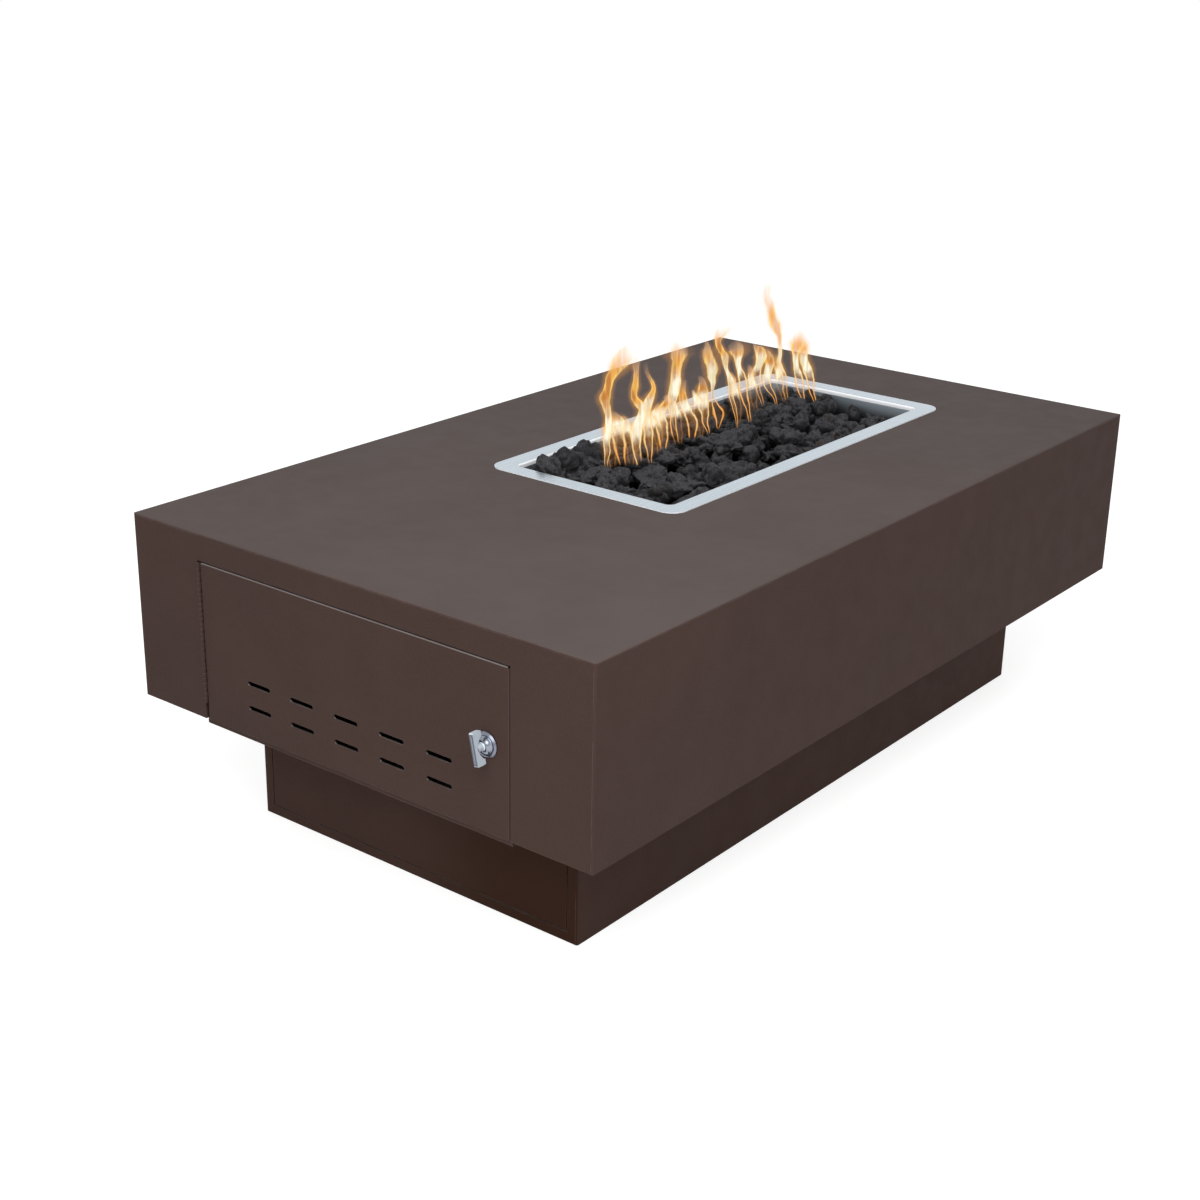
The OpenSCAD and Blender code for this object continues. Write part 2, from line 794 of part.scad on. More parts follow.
// Section of the pan's wall, its rolled upper edge and the start of the flange, measured
// from a corner's centre
module pan_section() {
    bend_x = pan_corner_r + pan_bend_r;
    bend_z = table_h + pan_t - pan_bend_r;
    translate([pan_corner_r, pan_floor]) square([pan_t, bend_z - pan_floor]);
    translate([bend_x, table_h]) square([pan_lap, pan_t]);
    translate([bend_x, bend_z]) intersection() {
        difference() {
            circle(pan_bend_r);
            circle(pan_bend_r - pan_t);
        }
        translate([-pan_bend_r, 0]) square(pan_bend_r);
    }
}

// Burner
module on_burner() {
    translate([pan_x, pan_y, burner_z]) children();
}

// Straight burner pipe with two rows of gas ports and an inlet under its middle
module burner_pipe() {
    port_pitch = (burner_l - 2 * port_margin) / (ports - 1);
    color(steel) on_burner() difference() {
        rotate([90, 0, 0]) cylinder(h = burner_l, r = pipe_r, center = true);
        rotate([90, 0, 0]) cylinder(h = burner_l + 2 * over, r = pipe_bore, center = true);
        for (i = [0:ports - 1], side = [-1, 1])
            translate([0, (i - (ports - 1) / 2) * port_pitch, 0])
                rotate([0, side * port_angle, 0]) cylinder(h = pipe_r + over, r = port_d / 2);
        translate([0, 0, -pipe_r - over]) cylinder(h = pipe_r + over, r = stub_bore);
    }
}

module burner_plugs() {
    color(steel) on_burner() for (side = [0, 1]) mirror([0, side, 0])
        translate([0, burner_l / 2, 0]) rotate([90, 0, 0]) {
            cylinder(h = socket_depth, r = pipe_bore - slip);
            translate([0, 0, -plug_t]) cylinder(h = plug_t, r = pipe_r);
        }
}

module burner_feet() {
    foot_low = pan_floor + pan_t;
    color(steel) for (side = [-1, 1]) translate([pan_x, pan_y + side * foot_y, 0])
        rotate([90, 0, 0]) linear_extrude(foot_t, center = true) difference() {
            translate([-foot_w / 2, foot_low]) square([foot_w, foot_h + pipe_r * 0.7]);
            translate([0, burner_z]) circle(pipe_r + slip);
        }
}

// Short pipe from the burner down through the floor of the pan
module burner_stub() {
    stub_low = elbow_top - socket_depth;
    color(steel) difference() {
        translate([pan_x, pan_y, stub_low]) cylinder(h = burner_z - stub_low, r = stub_r);
        translate([pan_x, pan_y, stub_low - over])
            cylinder(h = burner_z - stub_low + 2 * over, r = stub_bore);
        on_burner() rotate([90, 0, 0]) cylinder(h = 3 * pipe_d, r = pipe_r, center = true);
    }
}

module pan_locknuts() {
    color(zinc) for (z = [pan_floor - locknut_h, pan_floor + pan_t]) translate([pan_x, pan_y, z])
        hex_nut(stub_af, locknut_h, stub_r + slip);
}

// Collar of a pipe fitting along Z: a socket for a pipe of radius r over the fitting's bore
module elbow_end(r, bore) {
    rotate_extrude() polygon([[bore, 0], [r + elbow_wall, 0], [r + elbow_wall, elbow_collar - 1],
        [r + elbow_wall - 1, elbow_collar], [r + slip, elbow_collar],
        [r + slip, elbow_collar - socket_depth], [bore, elbow_collar - socket_depth]]);
}

// Quarter-bend fitting: one collar opens upwards at z = 0, the other opens along -Y
module pipe_elbow(r) {
    bore = r - 2.5;
    translate([0, 0, -elbow_collar]) elbow_end(r, bore);
    translate([0, -elbow_bend, -elbow_collar - elbow_bend]) rotate([90, 0, 0]) elbow_end(r, bore);
    translate([0, -elbow_bend, -elbow_collar]) rotate([90, 90, 90])
        rotate_extrude(angle = 90) translate([elbow_bend, 0]) difference() {
            circle(r + elbow_wall - 1);
            circle(bore);
        }
}

module burner_elbow() {
    color(zinc) translate([pan_x, pan_y, elbow_top]) pipe_elbow(stub_r);
}

// Hose fitting along Y: a spigot in the socket, a hexagon and the nut that holds the hose
module hose_fitting(r) {
    rotate([-90, 0, 0]) {
        translate([0, 0, -socket_depth + near]) tube(socket_depth - near, r, hose_bore_r);
        hex_nut(fitting_af, fitting_hex, hose_bore_r);
        translate([0, 0, fitting_hex]) tube(fitting_nut, hose_crest_r + 1.6, hose_bore_r);
    }
}

module burner_hose_fitting() {
    color(brass) translate([pan_x, pan_y - elbow_bend - elbow_collar, elbow_z])
        mirror([0, 1, 0]) hose_fitting(stub_r);
}

module valve_hose_fitting() {
    color(brass) translate([valve_x, valve_y + valve_half, valve_z]) hose_fitting(pipe_r);
}

// Gas hose: one ribbed tube with a bore, swept along a smooth curve
function hose_knots() =
    let (a = hose_front + [0, hose_cuff, 0], d = hose_rear - [0, hose_cuff, 0])
    [a, a + [0, hose_bend, 0], d - [0, hose_bend, 0], d];
function hose_curve(k, t) =
    k[0] * pow(1 - t, 3) + k[1] * 3 * t * pow(1 - t, 2) + k[2] * 3 * t * t * (1 - t) + k[3] * pow(t, 3);
function hose_run(k, t) =
    let (v = hose_curve(k, min(t + 0.001, 1)) - hose_curve(k, max(t - 0.001, 0))) v / norm(v);

// A ring of points round a place on the route
function hose_ring(place, run, r) =
    let (across = cross(run, [0, 0, 1]), side = across / norm(across), up = cross(side, run))
    [for (i = [0:hose_sides - 1])
        let (a = (i + 0.5) * 360 / hose_sides) place + r * (side * cos(a) + up * sin(a))];

// Triangles between two rings that start at points a and b
function ring_band(a, b) =
    [for (i = [0:hose_sides - 1])
        let (j = (i + 1) % hose_sides) each [[a + i, b + i, b + j], [a + i, b + j, a + j]]];

module gas_hose() {
    k = hose_knots();
    along = [0, 1, 0];
    outer = concat(
        [hose_ring(hose_front, along, hose_root_r)],
        [for (i = [0:2 * hose_ribs])
            let (t = i / (2 * hose_ribs))
            hose_ring(hose_curve(k, t), hose_run(k, t), i % 2 ? hose_crest_r : hose_root_r)],
        [hose_ring(hose_rear, along, hose_root_r)]);
    inner = concat(
        [hose_ring(hose_front, along, hose_bore_r)],
        [for (i = [0:hose_bore_rings])
            let (t = i / hose_bore_rings) hose_ring(hose_curve(k, t), hose_run(k, t), hose_bore_r)],
        [hose_ring(hose_rear, along, hose_bore_r)]);
    n_out = len(outer);
    n_in = len(inner);
    start_in = n_out * hose_sides;
    points = [for (ring = concat(outer, inner)) each ring];
    outer_faces = [for (i = [0:n_out - 2]) each ring_band(i * hose_sides, (i + 1) * hose_sides)];
    inner_faces = [for (i = [0:n_in - 2])
        each ring_band(start_in + (i + 1) * hose_sides, start_in + i * hose_sides)];
    front_face = ring_band(start_in, 0);
    rear_face = ring_band((n_out - 1) * hose_sides, start_in + (n_in - 1) * hose_sides);
    color([0.72, 0.73, 0.72])
        polyhedron(points, concat(outer_faces, inner_faces, front_face, rear_face));
}

// Gas valve: a quarter-turn ball valve, open along Y
module on_valve() {
    translate([valve_x, valve_y, valve_z]) children();
}

module valve_body() {
    color(brass) on_valve() difference() {
        union() {
            rotate([90, 0, 0]) cylinder(h = 2 * (valve_half - valve_end), r = barrel_valve_r, center = true);
            for (side = [0, 1]) mirror([0, side, 0]) translate([0, valve_half - valve_end, 0])
                rotate([-90, 0, 0]) cylinder(h = valve_end, r = valve_af / sqrt(3), $fn = 6);
            cylinder(h = bonnet_h, r = bonnet_r);
        }
        rotate([90, 0, 0]) cylinder(h = 2 * valve_half + 2 * over, r = ball_bore, center = true);
        for (side = [0, 1]) mirror([0, side, 0]) translate([0, valve_half - socket_depth, 0])
            rotate([-90, 0, 0]) cylinder(h = socket_depth + over, r = pipe_r + slip);
        sphere(ball_r + slip);
        cylinder(h = bonnet_h + over, r = valve_stem_r + slip);
    }
}

module valve_ball() {
    color(steel) on_valve() difference() {
        sphere(ball_r);
        rotate([90, 0, 0]) cylinder(h = 3 * ball_r, r = ball_bore, center = true);
        translate([-ball_r, -ball_r, ball_flat]) cube([2 * ball_r, 2 * ball_r, ball_r]);
    }
}

module valve_stem() {
    color(brass) on_valve() {
        translate([0, 0, ball_flat]) cylinder(h = lever_up - ball_flat, r = valve_stem_r);
        translate([0, 0, lever_up]) cylinder(h = lever_t + lever_nut_h + 1, r = stem_top_r);
    }
}

// Side view of the lever, from its stem towards the door
module lever_profile(t) {
    polygon([[10, 0], [10, t], [-15.5, t], [-26.5, lever_rise + t], [-lever_l, lever_rise + t],
        [-lever_l, lever_rise], [-25.5, lever_rise], [-14.5, 0]]);
}

module valve_lever() {
    color(zinc) on_valve() translate([0, 0, lever_up]) difference() {
        rotate([90, 0, 90]) linear_extrude(lever_w, center = true) lever_profile(lever_t);
        translate([0, 0, -over]) cylinder(h = lever_t + 2 * over, r = stem_top_r + slip);
    }
}

module lever_grip() {
    grip_h = lever_t + 2 * grip_wall;
    color("gold") on_valve() translate([0, -lever_l - grip_wall, lever_up + lever_rise + lever_t / 2])
        difference() {
            rotate([-90, 0, 0]) linear_extrude(grip_l)
                rounded(lever_w + 2 * grip_wall, grip_h, grip_wall);
            translate([-lever_w / 2 - slip, grip_wall - slip, -lever_t / 2 - slip])
                cube([lever_w + 2 * slip, grip_l, lever_t + 2 * slip]);
        }
}

module lever_nut() {
    color(zinc) on_valve() translate([0, 0, lever_up + lever_t])
        hex_nut(lever_nut_af, lever_nut_h, stem_top_r + slip);
}

// Supply pipework
module close_nipple() {
    nipple_l = nipple_show + 2 * (socket_depth - near);
    color(black_iron) translate([valve_x, valve_y - valve_half + socket_depth - near, valve_z])
        rotate([90, 0, 0]) tube(nipple_l, pipe_r, pipe_bore);
}

module supply_elbow() {
    color(black_iron) translate([valve_x, supply_y, tray_top + supply_nut_h])
        rotate([0, 180, 0]) mirror([0, 1, 0]) pipe_elbow(pipe_r);
}

// Upright pipe through the tray, with a length of thread on its lower end
module supply_pipe() {
    pipe_low = plinth_h - supply_l;
    pipe_top = tray_top + supply_nut_h + socket_depth - near;
    color(black_iron) translate([valve_x, supply_y, pipe_low]) rotate_extrude()
        polygon([[pipe_bore, 0], [thread_r, 0], [thread_r, thread_l], [pipe_r, thread_l],
            [pipe_r, pipe_top - pipe_low], [pipe_bore, pipe_top - pipe_low]]);
}

module supply_locknuts() {
    color(zinc) for (z = [plinth_h - supply_nut_h, tray_top]) translate([valve_x, supply_y, z])
        hex_nut(supply_af, supply_nut_h, pipe_r + slip);
}

// Lava rock: every stone fills a cell of its own, with a small flat on each of the cell's
// six faces and rough facets between them
function jitter(seed, n) = rands(0, 1, n, seed);

// Three points of a flat that lies in one face of a cell
function rock_flat(centre, u, v, r, turn) =
    [for (i = [0:2]) centre + r * (u * cos(turn + 120 * i) + v * sin(turn + 120 * i))];

module rock(low, high, seed) {
    q = jitter(seed, 24);
    size = high - low;
    mid = (low + high) / 2;
    half = size / 2;
    x = [half[0], 0, 0];
    y = [0, half[1], 0];
    z = [0, 0, half[2]];
    points = [for (face = [0:5])
        let (axis = floor(face / 2), sign = face % 2 ? 1 : -1,
            out = axis == 0 ? x : axis == 1 ? y : z,
            u = axis == 0 ? y : z, v = axis == 2 ? y : axis == 1 ? x : z,
            u2 = axis == 2 ? x : u,
            wander = (q[face] - 0.5) * 0.3, wander2 = (q[face + 6] - 0.5) * 0.3,
            r = 0.42 + 0.22 * q[face + 12])
        each rock_flat(mid + sign * out + wander * u2 + wander2 * v, u2, v, r, 360 * q[face + 18])];
    hull() polyhedron(points, [for (f = [0:5]) [3 * f, 3 * f + 1, 3 * f + 2]]);
}

// Height of the heap: lowest along the pan's right side, higher along the middle of its left,
// with a mound in the near left corner
function heap_z(x, y) =
    let (across = pow(max(0, 0.5 - x / pan_w), 1.5), along = 0.55 + 0.45 * cos(140 * y / pan_l - 24.5),
        mound_x = x / pan_w + 0.44, mound_y = y / pan_l + 0.37)
    table_h - rock_low + rock_heap * across * along
        + rock_mound * exp(-pow(mound_x / 0.2, 2) - pow(mound_y / 0.115, 2));

// Running sums of a list, from 0 to its total
function running(list) =
    [for (i = 0, sum = 0; i <= len(list); sum = sum + (i < len(list) ? list[i] : 0), i = i + 1) sum];

module lava_rocks() {
    step_y = pan_l / rock_rows;
    low_z = pan_floor + pan_t;
    color(rock_grey) translate([pan_x, pan_y, 0]) {
        for (row = [0:rock_rows - 1]) {
            // widths in a row differ from stone to stone and add up to the pan's width
            sums = running([for (w = jitter(100 + row, rock_columns)) 0.7 + 0.6 * w]);
            edges = [for (sum = sums) pan_w * (sum / sums[rock_columns] - 0.5)];
            tops = jitter(300 + row, rock_columns);
            y0 = -pan_l / 2 + row * step_y;
            for (i = [0:rock_columns - 1]) {
                top = heap_z((edges[i] + edges[i + 1]) / 2, y0 + step_y / 2) + 10 * (tops[i] - 0.5);
                rock([edges[i] + rock_gap, y0 + rock_gap, rock_split],
                    [edges[i + 1] - rock_gap, y0 + step_y - rock_gap, top], 1000 + 40 * row + i);
            }
        }
        low_step = pan_l / low_rock_rows;
        low_w = (pan_w / 2 - rock_channel) / 2;
        for (row = [0:low_rock_rows - 1], side = [-1, 1], i = [0, 1]) {
            x0 = side * (rock_channel + i * low_w);
            x1 = side * (rock_channel + (i + 1) * low_w);
            y0 = -pan_l / 2 + row * low_step;
            rock([min(x0, x1) + rock_gap, y0 + rock_gap, low_z + rock_gap],
                [max(x0, x1) - rock_gap, y0 + low_step - rock_gap, rock_split - rock_gap],
                3000 + 40 * row + 10 * side + i);
        }
    }
}

top_panel();
front_skirt();
rear_skirt();
left_skirt();
right_skirt();
floor_tray();
door_sill();
hinge_post();
latch_post();
header_stop();
front_brace();
rear_brace();
plinth_left();
plinth_right();
plinth_rear();
plinth_front();
plinth_panel();
panel_nuts();
base_ring();
door_panel();
hinge_frame_leaf();
hinge_door_leaf();
hinge_pin();
frame_rivets();
door_rivets();
latch_housing();
latch_nut();
latch_handle();
latch_cam();
cam_screw();
burner_pan();
burner_pipe();
burner_plugs();
burner_feet();
burner_stub();
pan_locknuts();
burner_elbow();
burner_hose_fitting();
gas_hose();
valve_hose_fitting();
valve_body();
valve_ball();
valve_stem();
valve_lever();
lever_grip();
lever_nut();
close_nipple();
supply_elbow();
supply_pipe();
supply_locknuts();
lava_rocks();
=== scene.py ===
import json
import math
import random

import bmesh
import bpy
import numpy as np
from mathutils import Matrix, Vector, noise


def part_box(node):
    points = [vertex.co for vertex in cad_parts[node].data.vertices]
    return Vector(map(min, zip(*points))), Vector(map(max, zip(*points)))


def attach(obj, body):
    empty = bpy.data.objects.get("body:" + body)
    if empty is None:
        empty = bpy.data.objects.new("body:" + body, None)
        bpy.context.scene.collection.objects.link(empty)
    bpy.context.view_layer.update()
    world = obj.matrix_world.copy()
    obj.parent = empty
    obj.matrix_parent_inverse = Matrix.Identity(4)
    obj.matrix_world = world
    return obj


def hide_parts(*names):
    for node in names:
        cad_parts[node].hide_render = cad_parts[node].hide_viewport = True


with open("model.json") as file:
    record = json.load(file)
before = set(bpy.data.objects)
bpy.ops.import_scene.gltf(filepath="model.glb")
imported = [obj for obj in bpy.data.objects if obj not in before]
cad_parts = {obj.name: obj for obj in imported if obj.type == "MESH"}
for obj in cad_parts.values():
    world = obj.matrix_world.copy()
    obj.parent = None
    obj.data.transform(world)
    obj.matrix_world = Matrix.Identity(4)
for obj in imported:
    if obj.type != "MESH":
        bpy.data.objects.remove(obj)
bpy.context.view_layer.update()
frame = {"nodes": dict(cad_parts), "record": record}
nodes = frame["nodes"]
print("frame loaded with", len(nodes), "CAD pieces")


# camera and studio

cameraPlace = {
    "at": (1.4378, -1.9830, 1.1479),   # metres
    "azimuth": 38.16,                  # degrees, from the door's end towards the right side
    "elevation": 21.11,
    "roll": 0.99,
    "lens": 57.80,                     # mm
    "sensor": 36,                      # mm
    "photoFocal": 1926.7,              # that lens as fitted, in the photograph's pixels
    "photoMiddle": 600,                # pixels, across and down in its 1200x1200 frame
    "sees": (0.05, 60),                # metres, from and to
}

studio = {
    "skyLight": 0.60,                  # world strength that lights the table
    "floorPale": 0.70,                 # what the floor gives back to the table
    "floorTone": 0.50,                 # how deep the shadow on the floor looks
    "floorWhite": 1.03,                # brightness where nothing shades it
    "floorLit": 0.55,                  # what the lamps and the sky give to that
    "floorSize": 9,                    # half its width, metres
    "floorDrop": 0.0006,               # just under the table's base ring
    # soft lamps: place, width and height in metres, watts, seen in gloss or not
    "lamps": {
        "key lamp": ((1.05, -2.3, 1.75), (1.5, 1.5), 24.0, True),
        "top lamp": ((0.95, -1.10, 2.1), (1.8, 1.8), 31.5, False),
    },
    "aim": (0, 0, 0.3),
}


# the camera's right and its up, and the way it looks away from
def cameraAxes():
    az, el, roll = (math.radians(cameraPlace[k]) for k in ("azimuth", "elevation", "roll"))
    back = np.array((math.sin(az) * math.cos(el), -math.cos(az) * math.cos(el), math.sin(el)))
    right = np.array((math.cos(az), math.sin(az), 0))
    up = np.cross(back, right)
    turnedRight = right * math.cos(roll) + up * math.sin(roll)
    turnedUp = up * math.cos(roll) - right * math.sin(roll)
    return turnedRight, turnedUp, back


def placeCamera():
    camera = bpy.data.objects.new("camera", bpy.data.cameras.new("camera"))
    bpy.context.scene.collection.objects.link(camera)
    place = Matrix(cameraAxes()).transposed().to_4x4()
    place.translation = cameraPlace["at"]
    camera.matrix_world = place
    camera.data.lens = cameraPlace["lens"]
    camera.data.sensor_width = cameraPlace["sensor"]
    camera.data.clip_start, camera.data.clip_end = cameraPlace["sees"]
    bpy.context.scene.camera = camera


# small helpers for shader trees

def addNode(tree, kind, settings=None, inputs=None):
    node = tree.nodes.new(kind)
    for name, value in (settings or {}).items():
        setattr(node, name, value)
    for name, value in (inputs or {}).items():
        feed(tree, node.inputs[name], value)
    return node


def feed(tree, socket, value):
    if isinstance(value, bpy.types.NodeSocket):
        tree.links.new(value, socket)
    else:
        socket.default_value = value


def calc(tree, operation, first, second=0.0, third=0.0, clamp=False):
    node = addNode(tree, "ShaderNodeMath", {"operation": operation, "use_clamp": clamp})
    for socket, value in zip(node.inputs, (first, second, third)):
        feed(tree, socket, value)
    return node.outputs[0]


# smooth step from start to end
def ease(tree, value, low, high, start=0.0, end=1.0):
    node = addNode(tree, "ShaderNodeMapRange", {"interpolation_type": "SMOOTHSTEP"}, {
        "Value": value, "From Min": low, "From Max": high, "To Min": start, "To Max": end})
    return node.outputs[0]


def mixColour(tree, share, first, second):
    node = addNode(tree, "ShaderNodeMix", {"data_type": "RGBA"})
    feed(tree, node.inputs[0], share)
    feed(tree, node.inputs[6], first)
    feed(tree, node.inputs[7], second)
    return node.outputs[2]


def blend(tree, share, first, second):
    node = addNode(tree, "ShaderNodeMix", {"data_type": "FLOAT"})
    for place, value in ((0, share), (2, first), (3, second)):
        feed(tree, node.inputs[place], value)
    return node.outputs[0]


# a colour made paler or darker
def toned(colour, factor):
    return tuple(min(1, c * factor) for c in colour[:3]) + (1,)


# x, y or z of the place or normal in the object's own space, which turns with its body
def texturePart(tree, output, part):
    place = addNode(tree, "ShaderNodeTexCoord").outputs[output]
    return addNode(tree, "ShaderNodeSeparateXYZ", None, {"Vector": place}).outputs[part]


# u or v of a UV layer
def uvPart(tree, layer, part):
    place = addNode(tree, "ShaderNodeUVMap", {"uv_map": layer}).outputs["UV"]
    return addNode(tree, "ShaderNodeSeparateXYZ", None, {"Vector": place}).outputs[part]


# noise whose features are about size metres across; stretch lengthens them along an axis
def grain(tree, size, detail=2.0, rough=0.55, stretch=(1, 1, 1)):
    place = addNode(tree, "ShaderNodeTexCoord").outputs["Object"]
    if tuple(stretch) != (1, 1, 1):
        mapping = addNode(tree, "ShaderNodeMapping", None, {"Scale": [1 / s for s in stretch]})
        tree.links.new(place, mapping.inputs["Vector"])
        place = mapping.outputs["Vector"]
    node = addNode(tree, "ShaderNodeTexNoise", None, {
        "Vector": place, "Scale": 1 / size, "Detail": detail, "Roughness": rough})
    return node.outputs["Fac"]


# the same noise from -0.5 to 0.5
def ripples(tree, size, detail, rough, stretch):
    return calc(tree, "SUBTRACT", grain(tree, size, detail, rough, stretch), 0.5)


# distance from the middle of cells about size metres across
def cells(tree, size):
    place = addNode(tree, "ShaderNodeTexCoord").outputs["Object"]
    node = addNode(tree, "ShaderNodeTexVoronoi", None, {"Vector": place, "Scale": 1 / size})
    return node.outputs["Distance"]


def bump(tree, height, distance, strength=1.0, normal=None):
    node = addNode(tree, "ShaderNodeBump", None,
                   {"Height": height, "Strength": strength, "Distance": distance})
    if normal is not None:
        tree.links.new(normal, node.inputs["Normal"])
    return node.outputs["Normal"]


# 1 along edges, broken up by a noise
def edgeMask(tree, radius, breakUp):
    rounded = addNode(tree, "ShaderNodeBevel", {"samples": 4}, {"Radius": radius})
    flat = addNode(tree, "ShaderNodeNewGeometry")
    dot = addNode(tree, "ShaderNodeVectorMath", {"operation": "DOT_PRODUCT"})
    tree.links.new(rounded.outputs["Normal"], dot.inputs[0])
    tree.links.new(flat.outputs["Normal"], dot.inputs[1])
    sharp = ease(tree, dot.outputs["Value"], 0.995, 0.80)
    return calc(tree, "MULTIPLY", sharp, breakUp, clamp=True)


def newMaterial(name):
    material = bpy.data.materials.new(name)
    material.use_nodes = True
    tree = material.node_tree
    return material, tree, tree.nodes["Principled BSDF"]


# a material that shows only what its own shaders give
def bareMaterial(name):
    material, tree = newMaterial(name)[:2]
    tree.nodes.clear()
    return material, tree


# two shaders mixed into the output of a tree that was cleared
def mixInto(tree, outputKind, share, first, second):
    pick = addNode(tree, "ShaderNodeMixShader")
    for place, value in enumerate((share, first, second)):
        feed(tree, pick.inputs[place], value)
    addNode(tree, outputKind, None, {"Surface": pick.outputs[0]})


# 1 where the camera sees something, also in a reflection or through glass
def seenByCamera(tree):
    path = addNode(tree, "ShaderNodeLightPath")
    return calc(tree, "MAXIMUM", path.outputs["Is Camera Ray"], calc(
        tree, "MAXIMUM", path.outputs["Is Glossy Ray"], path.outputs["Is Transmission Ray"]))


def shade(tree, shader, **values):
    for name, value in values.items():
        feed(tree, shader.inputs[name], value)


# finishes

paintLook = {
    "outside": (0.0525, 0.0320, 0.0270, 1),
    "plinth": (0.0480, 0.0262, 0.0204, 1),
    "stainAndShade": (0.0350, 0.0150, 0.0086, 1),  # painted shade under the table's overhang: the plinth's front end is deeper towards its right
    "overhangShadeSpan": (-0.03, 0.17),            # x, metres
    "paintedTopSheen": (0.118, 0.109, 0.107, 1),      # painted sheen: what faces up is mixed towards this pale grey
    "paintedTopSheenShare": 0.36,
    "inside": (0.0410, 0.0232, 0.0190, 1),
    "rubbedAndHighlight": (0.150, 0.120, 0.110, 1),    # edges where the coat has worn thin, and a painted highlight along the folds
    # the door's edges and folds: wear, and a stronger painted highlight along its folds
    "doorWearAndHighlight": (0.190, 0.166, 0.157, 1),
    "specular": 0.05,
    "roughness": 0.60,
    "grain": 0.0010,                       # metres across
    "peel": 0.0045,
    "patches": 0.16,
    "handled": 0.035,
    "edgeWearAndHighlight": 0.0011,
}


# the third argument is how much of the pale colour shows along the folds of the sheet, as a painted
# highlight
def powderCoat(name, colour, foldHighlight=0.15, rubbedAndHighlight=paintLook["rubbedAndHighlight"], overhangShaded=False):
    material, tree, shader = newMaterial(name)
    fine = grain(tree, paintLook["grain"], 2, 0.6)
    peel = grain(tree, paintLook["peel"], 1.5, 0.5)
    patches = grain(tree, paintLook["patches"], 3, 0.55)
    handled = grain(tree, paintLook["handled"], 4, 0.6)
    # worn edges, made paler also as a painted highlight
    edgeWearAndHighlight = edgeMask(tree, paintLook["edgeWearAndHighlight"], ease(tree, handled, 0.38, 0.62))
    base = mixColour(tree, ease(tree, patches, 0.3, 0.7), toned(colour, 0.93), toned(colour, 1.08))
    base = mixColour(tree, ease(tree, fine, 0.35, 0.75, 0, 0.30), base, toned(colour, 1.7))
    facing = [texturePart(tree, "Normal", part) for part in range(3)]
    # painted sheen: faces that look up are made paler, a little unevenly with the patches
    paintedTopSheen = calc(tree, "MULTIPLY", ease(tree, facing[2], 0.20, 0.95, 0, paintLook["paintedTopSheenShare"]),
                ease(tree, patches, 0.25, 0.75, 0.85, 1.1))
    base = mixColour(tree, paintedTopSheen, base, paintLook["paintedTopSheen"])
    # painted shade under the overhang: the plinth's front face darkens towards its right end
    if overhangShaded:
        stainAndShade = calc(tree, "MULTIPLY", ease(tree, facing[1], -0.5, -0.9),
                     ease(tree, texturePart(tree, "Object", 0), *paintLook["overhangShadeSpan"]))
        base = mixColour(tree, stainAndShade, base, paintLook["stainAndShade"])
    # a face of the folded sheet looks along an axis, and only a fold looks between two of them
    straight = calc(tree, "MAXIMUM", calc(tree, "ABSOLUTE", facing[0]), calc(
        tree, "MAXIMUM", calc(tree, "ABSOLUTE", facing[1]), calc(tree, "ABSOLUTE", facing[2])))
    # painted highlight along the folds, stronger where a fold faces up
    fold = calc(tree, "MULTIPLY", ease(tree, straight, 0.97, 0.80),
                ease(tree, facing[2], 0.0, 0.3, 0.1 * foldHighlight, foldHighlight))
    # edge wear and the painted fold highlight, mixed towards the pale colour
    wearAndHighlight = calc(tree, "MAXIMUM", calc(tree, "MULTIPLY", edgeWearAndHighlight, 0.55),
                calc(tree, "MULTIPLY", fold, ease(tree, handled, 0.25, 0.55, 0.75, 1.0)))
    base = mixColour(tree, wearAndHighlight, base, rubbedAndHighlight)
    rough = calc(tree, "ADD", ease(tree, handled, 0.3, 0.7, -0.035, 0.035),
                 ease(tree, patches, 0.3, 0.7, paintLook["roughness"] - 0.02,
                      paintLook["roughness"] + 0.03))
    relief = bump(tree, peel, 0.00009, 0.5)
    relief = bump(tree, fine, 0.00004, 0.5, relief)
    shade(tree, shader, **{"Base Color": base, "Roughness": rough, "Normal": relief,
                           "Specular IOR Level": paintLook["specular"]})
    return material


# colour of each metal, and of its tint, spots or tarnish
metalLook = {
    "pan": ((0.515, 0.590, 0.650, 1), None),
    "burner": ((0.13, 0.12, 0.115, 1), (0.085, 0.055, 0.040, 1)),
    "latch": ((0.19, 0.20, 0.25, 1), (0.30, 0.31, 0.36, 1)),
    "zinc": ((0.50, 0.51, 0.52, 1), (0.36, 0.35, 0.31, 1)),
    "brass": ((0.66, 0.47, 0.20, 1), (0.34, 0.22, 0.10, 1)),
    "blackIron": ((0.030, 0.029, 0.030, 1), (0.055, 0.040, 0.032, 1)),
    "hose": ((0.56, 0.57, 0.58, 1), (0.40, 0.39, 0.37, 1)),
}


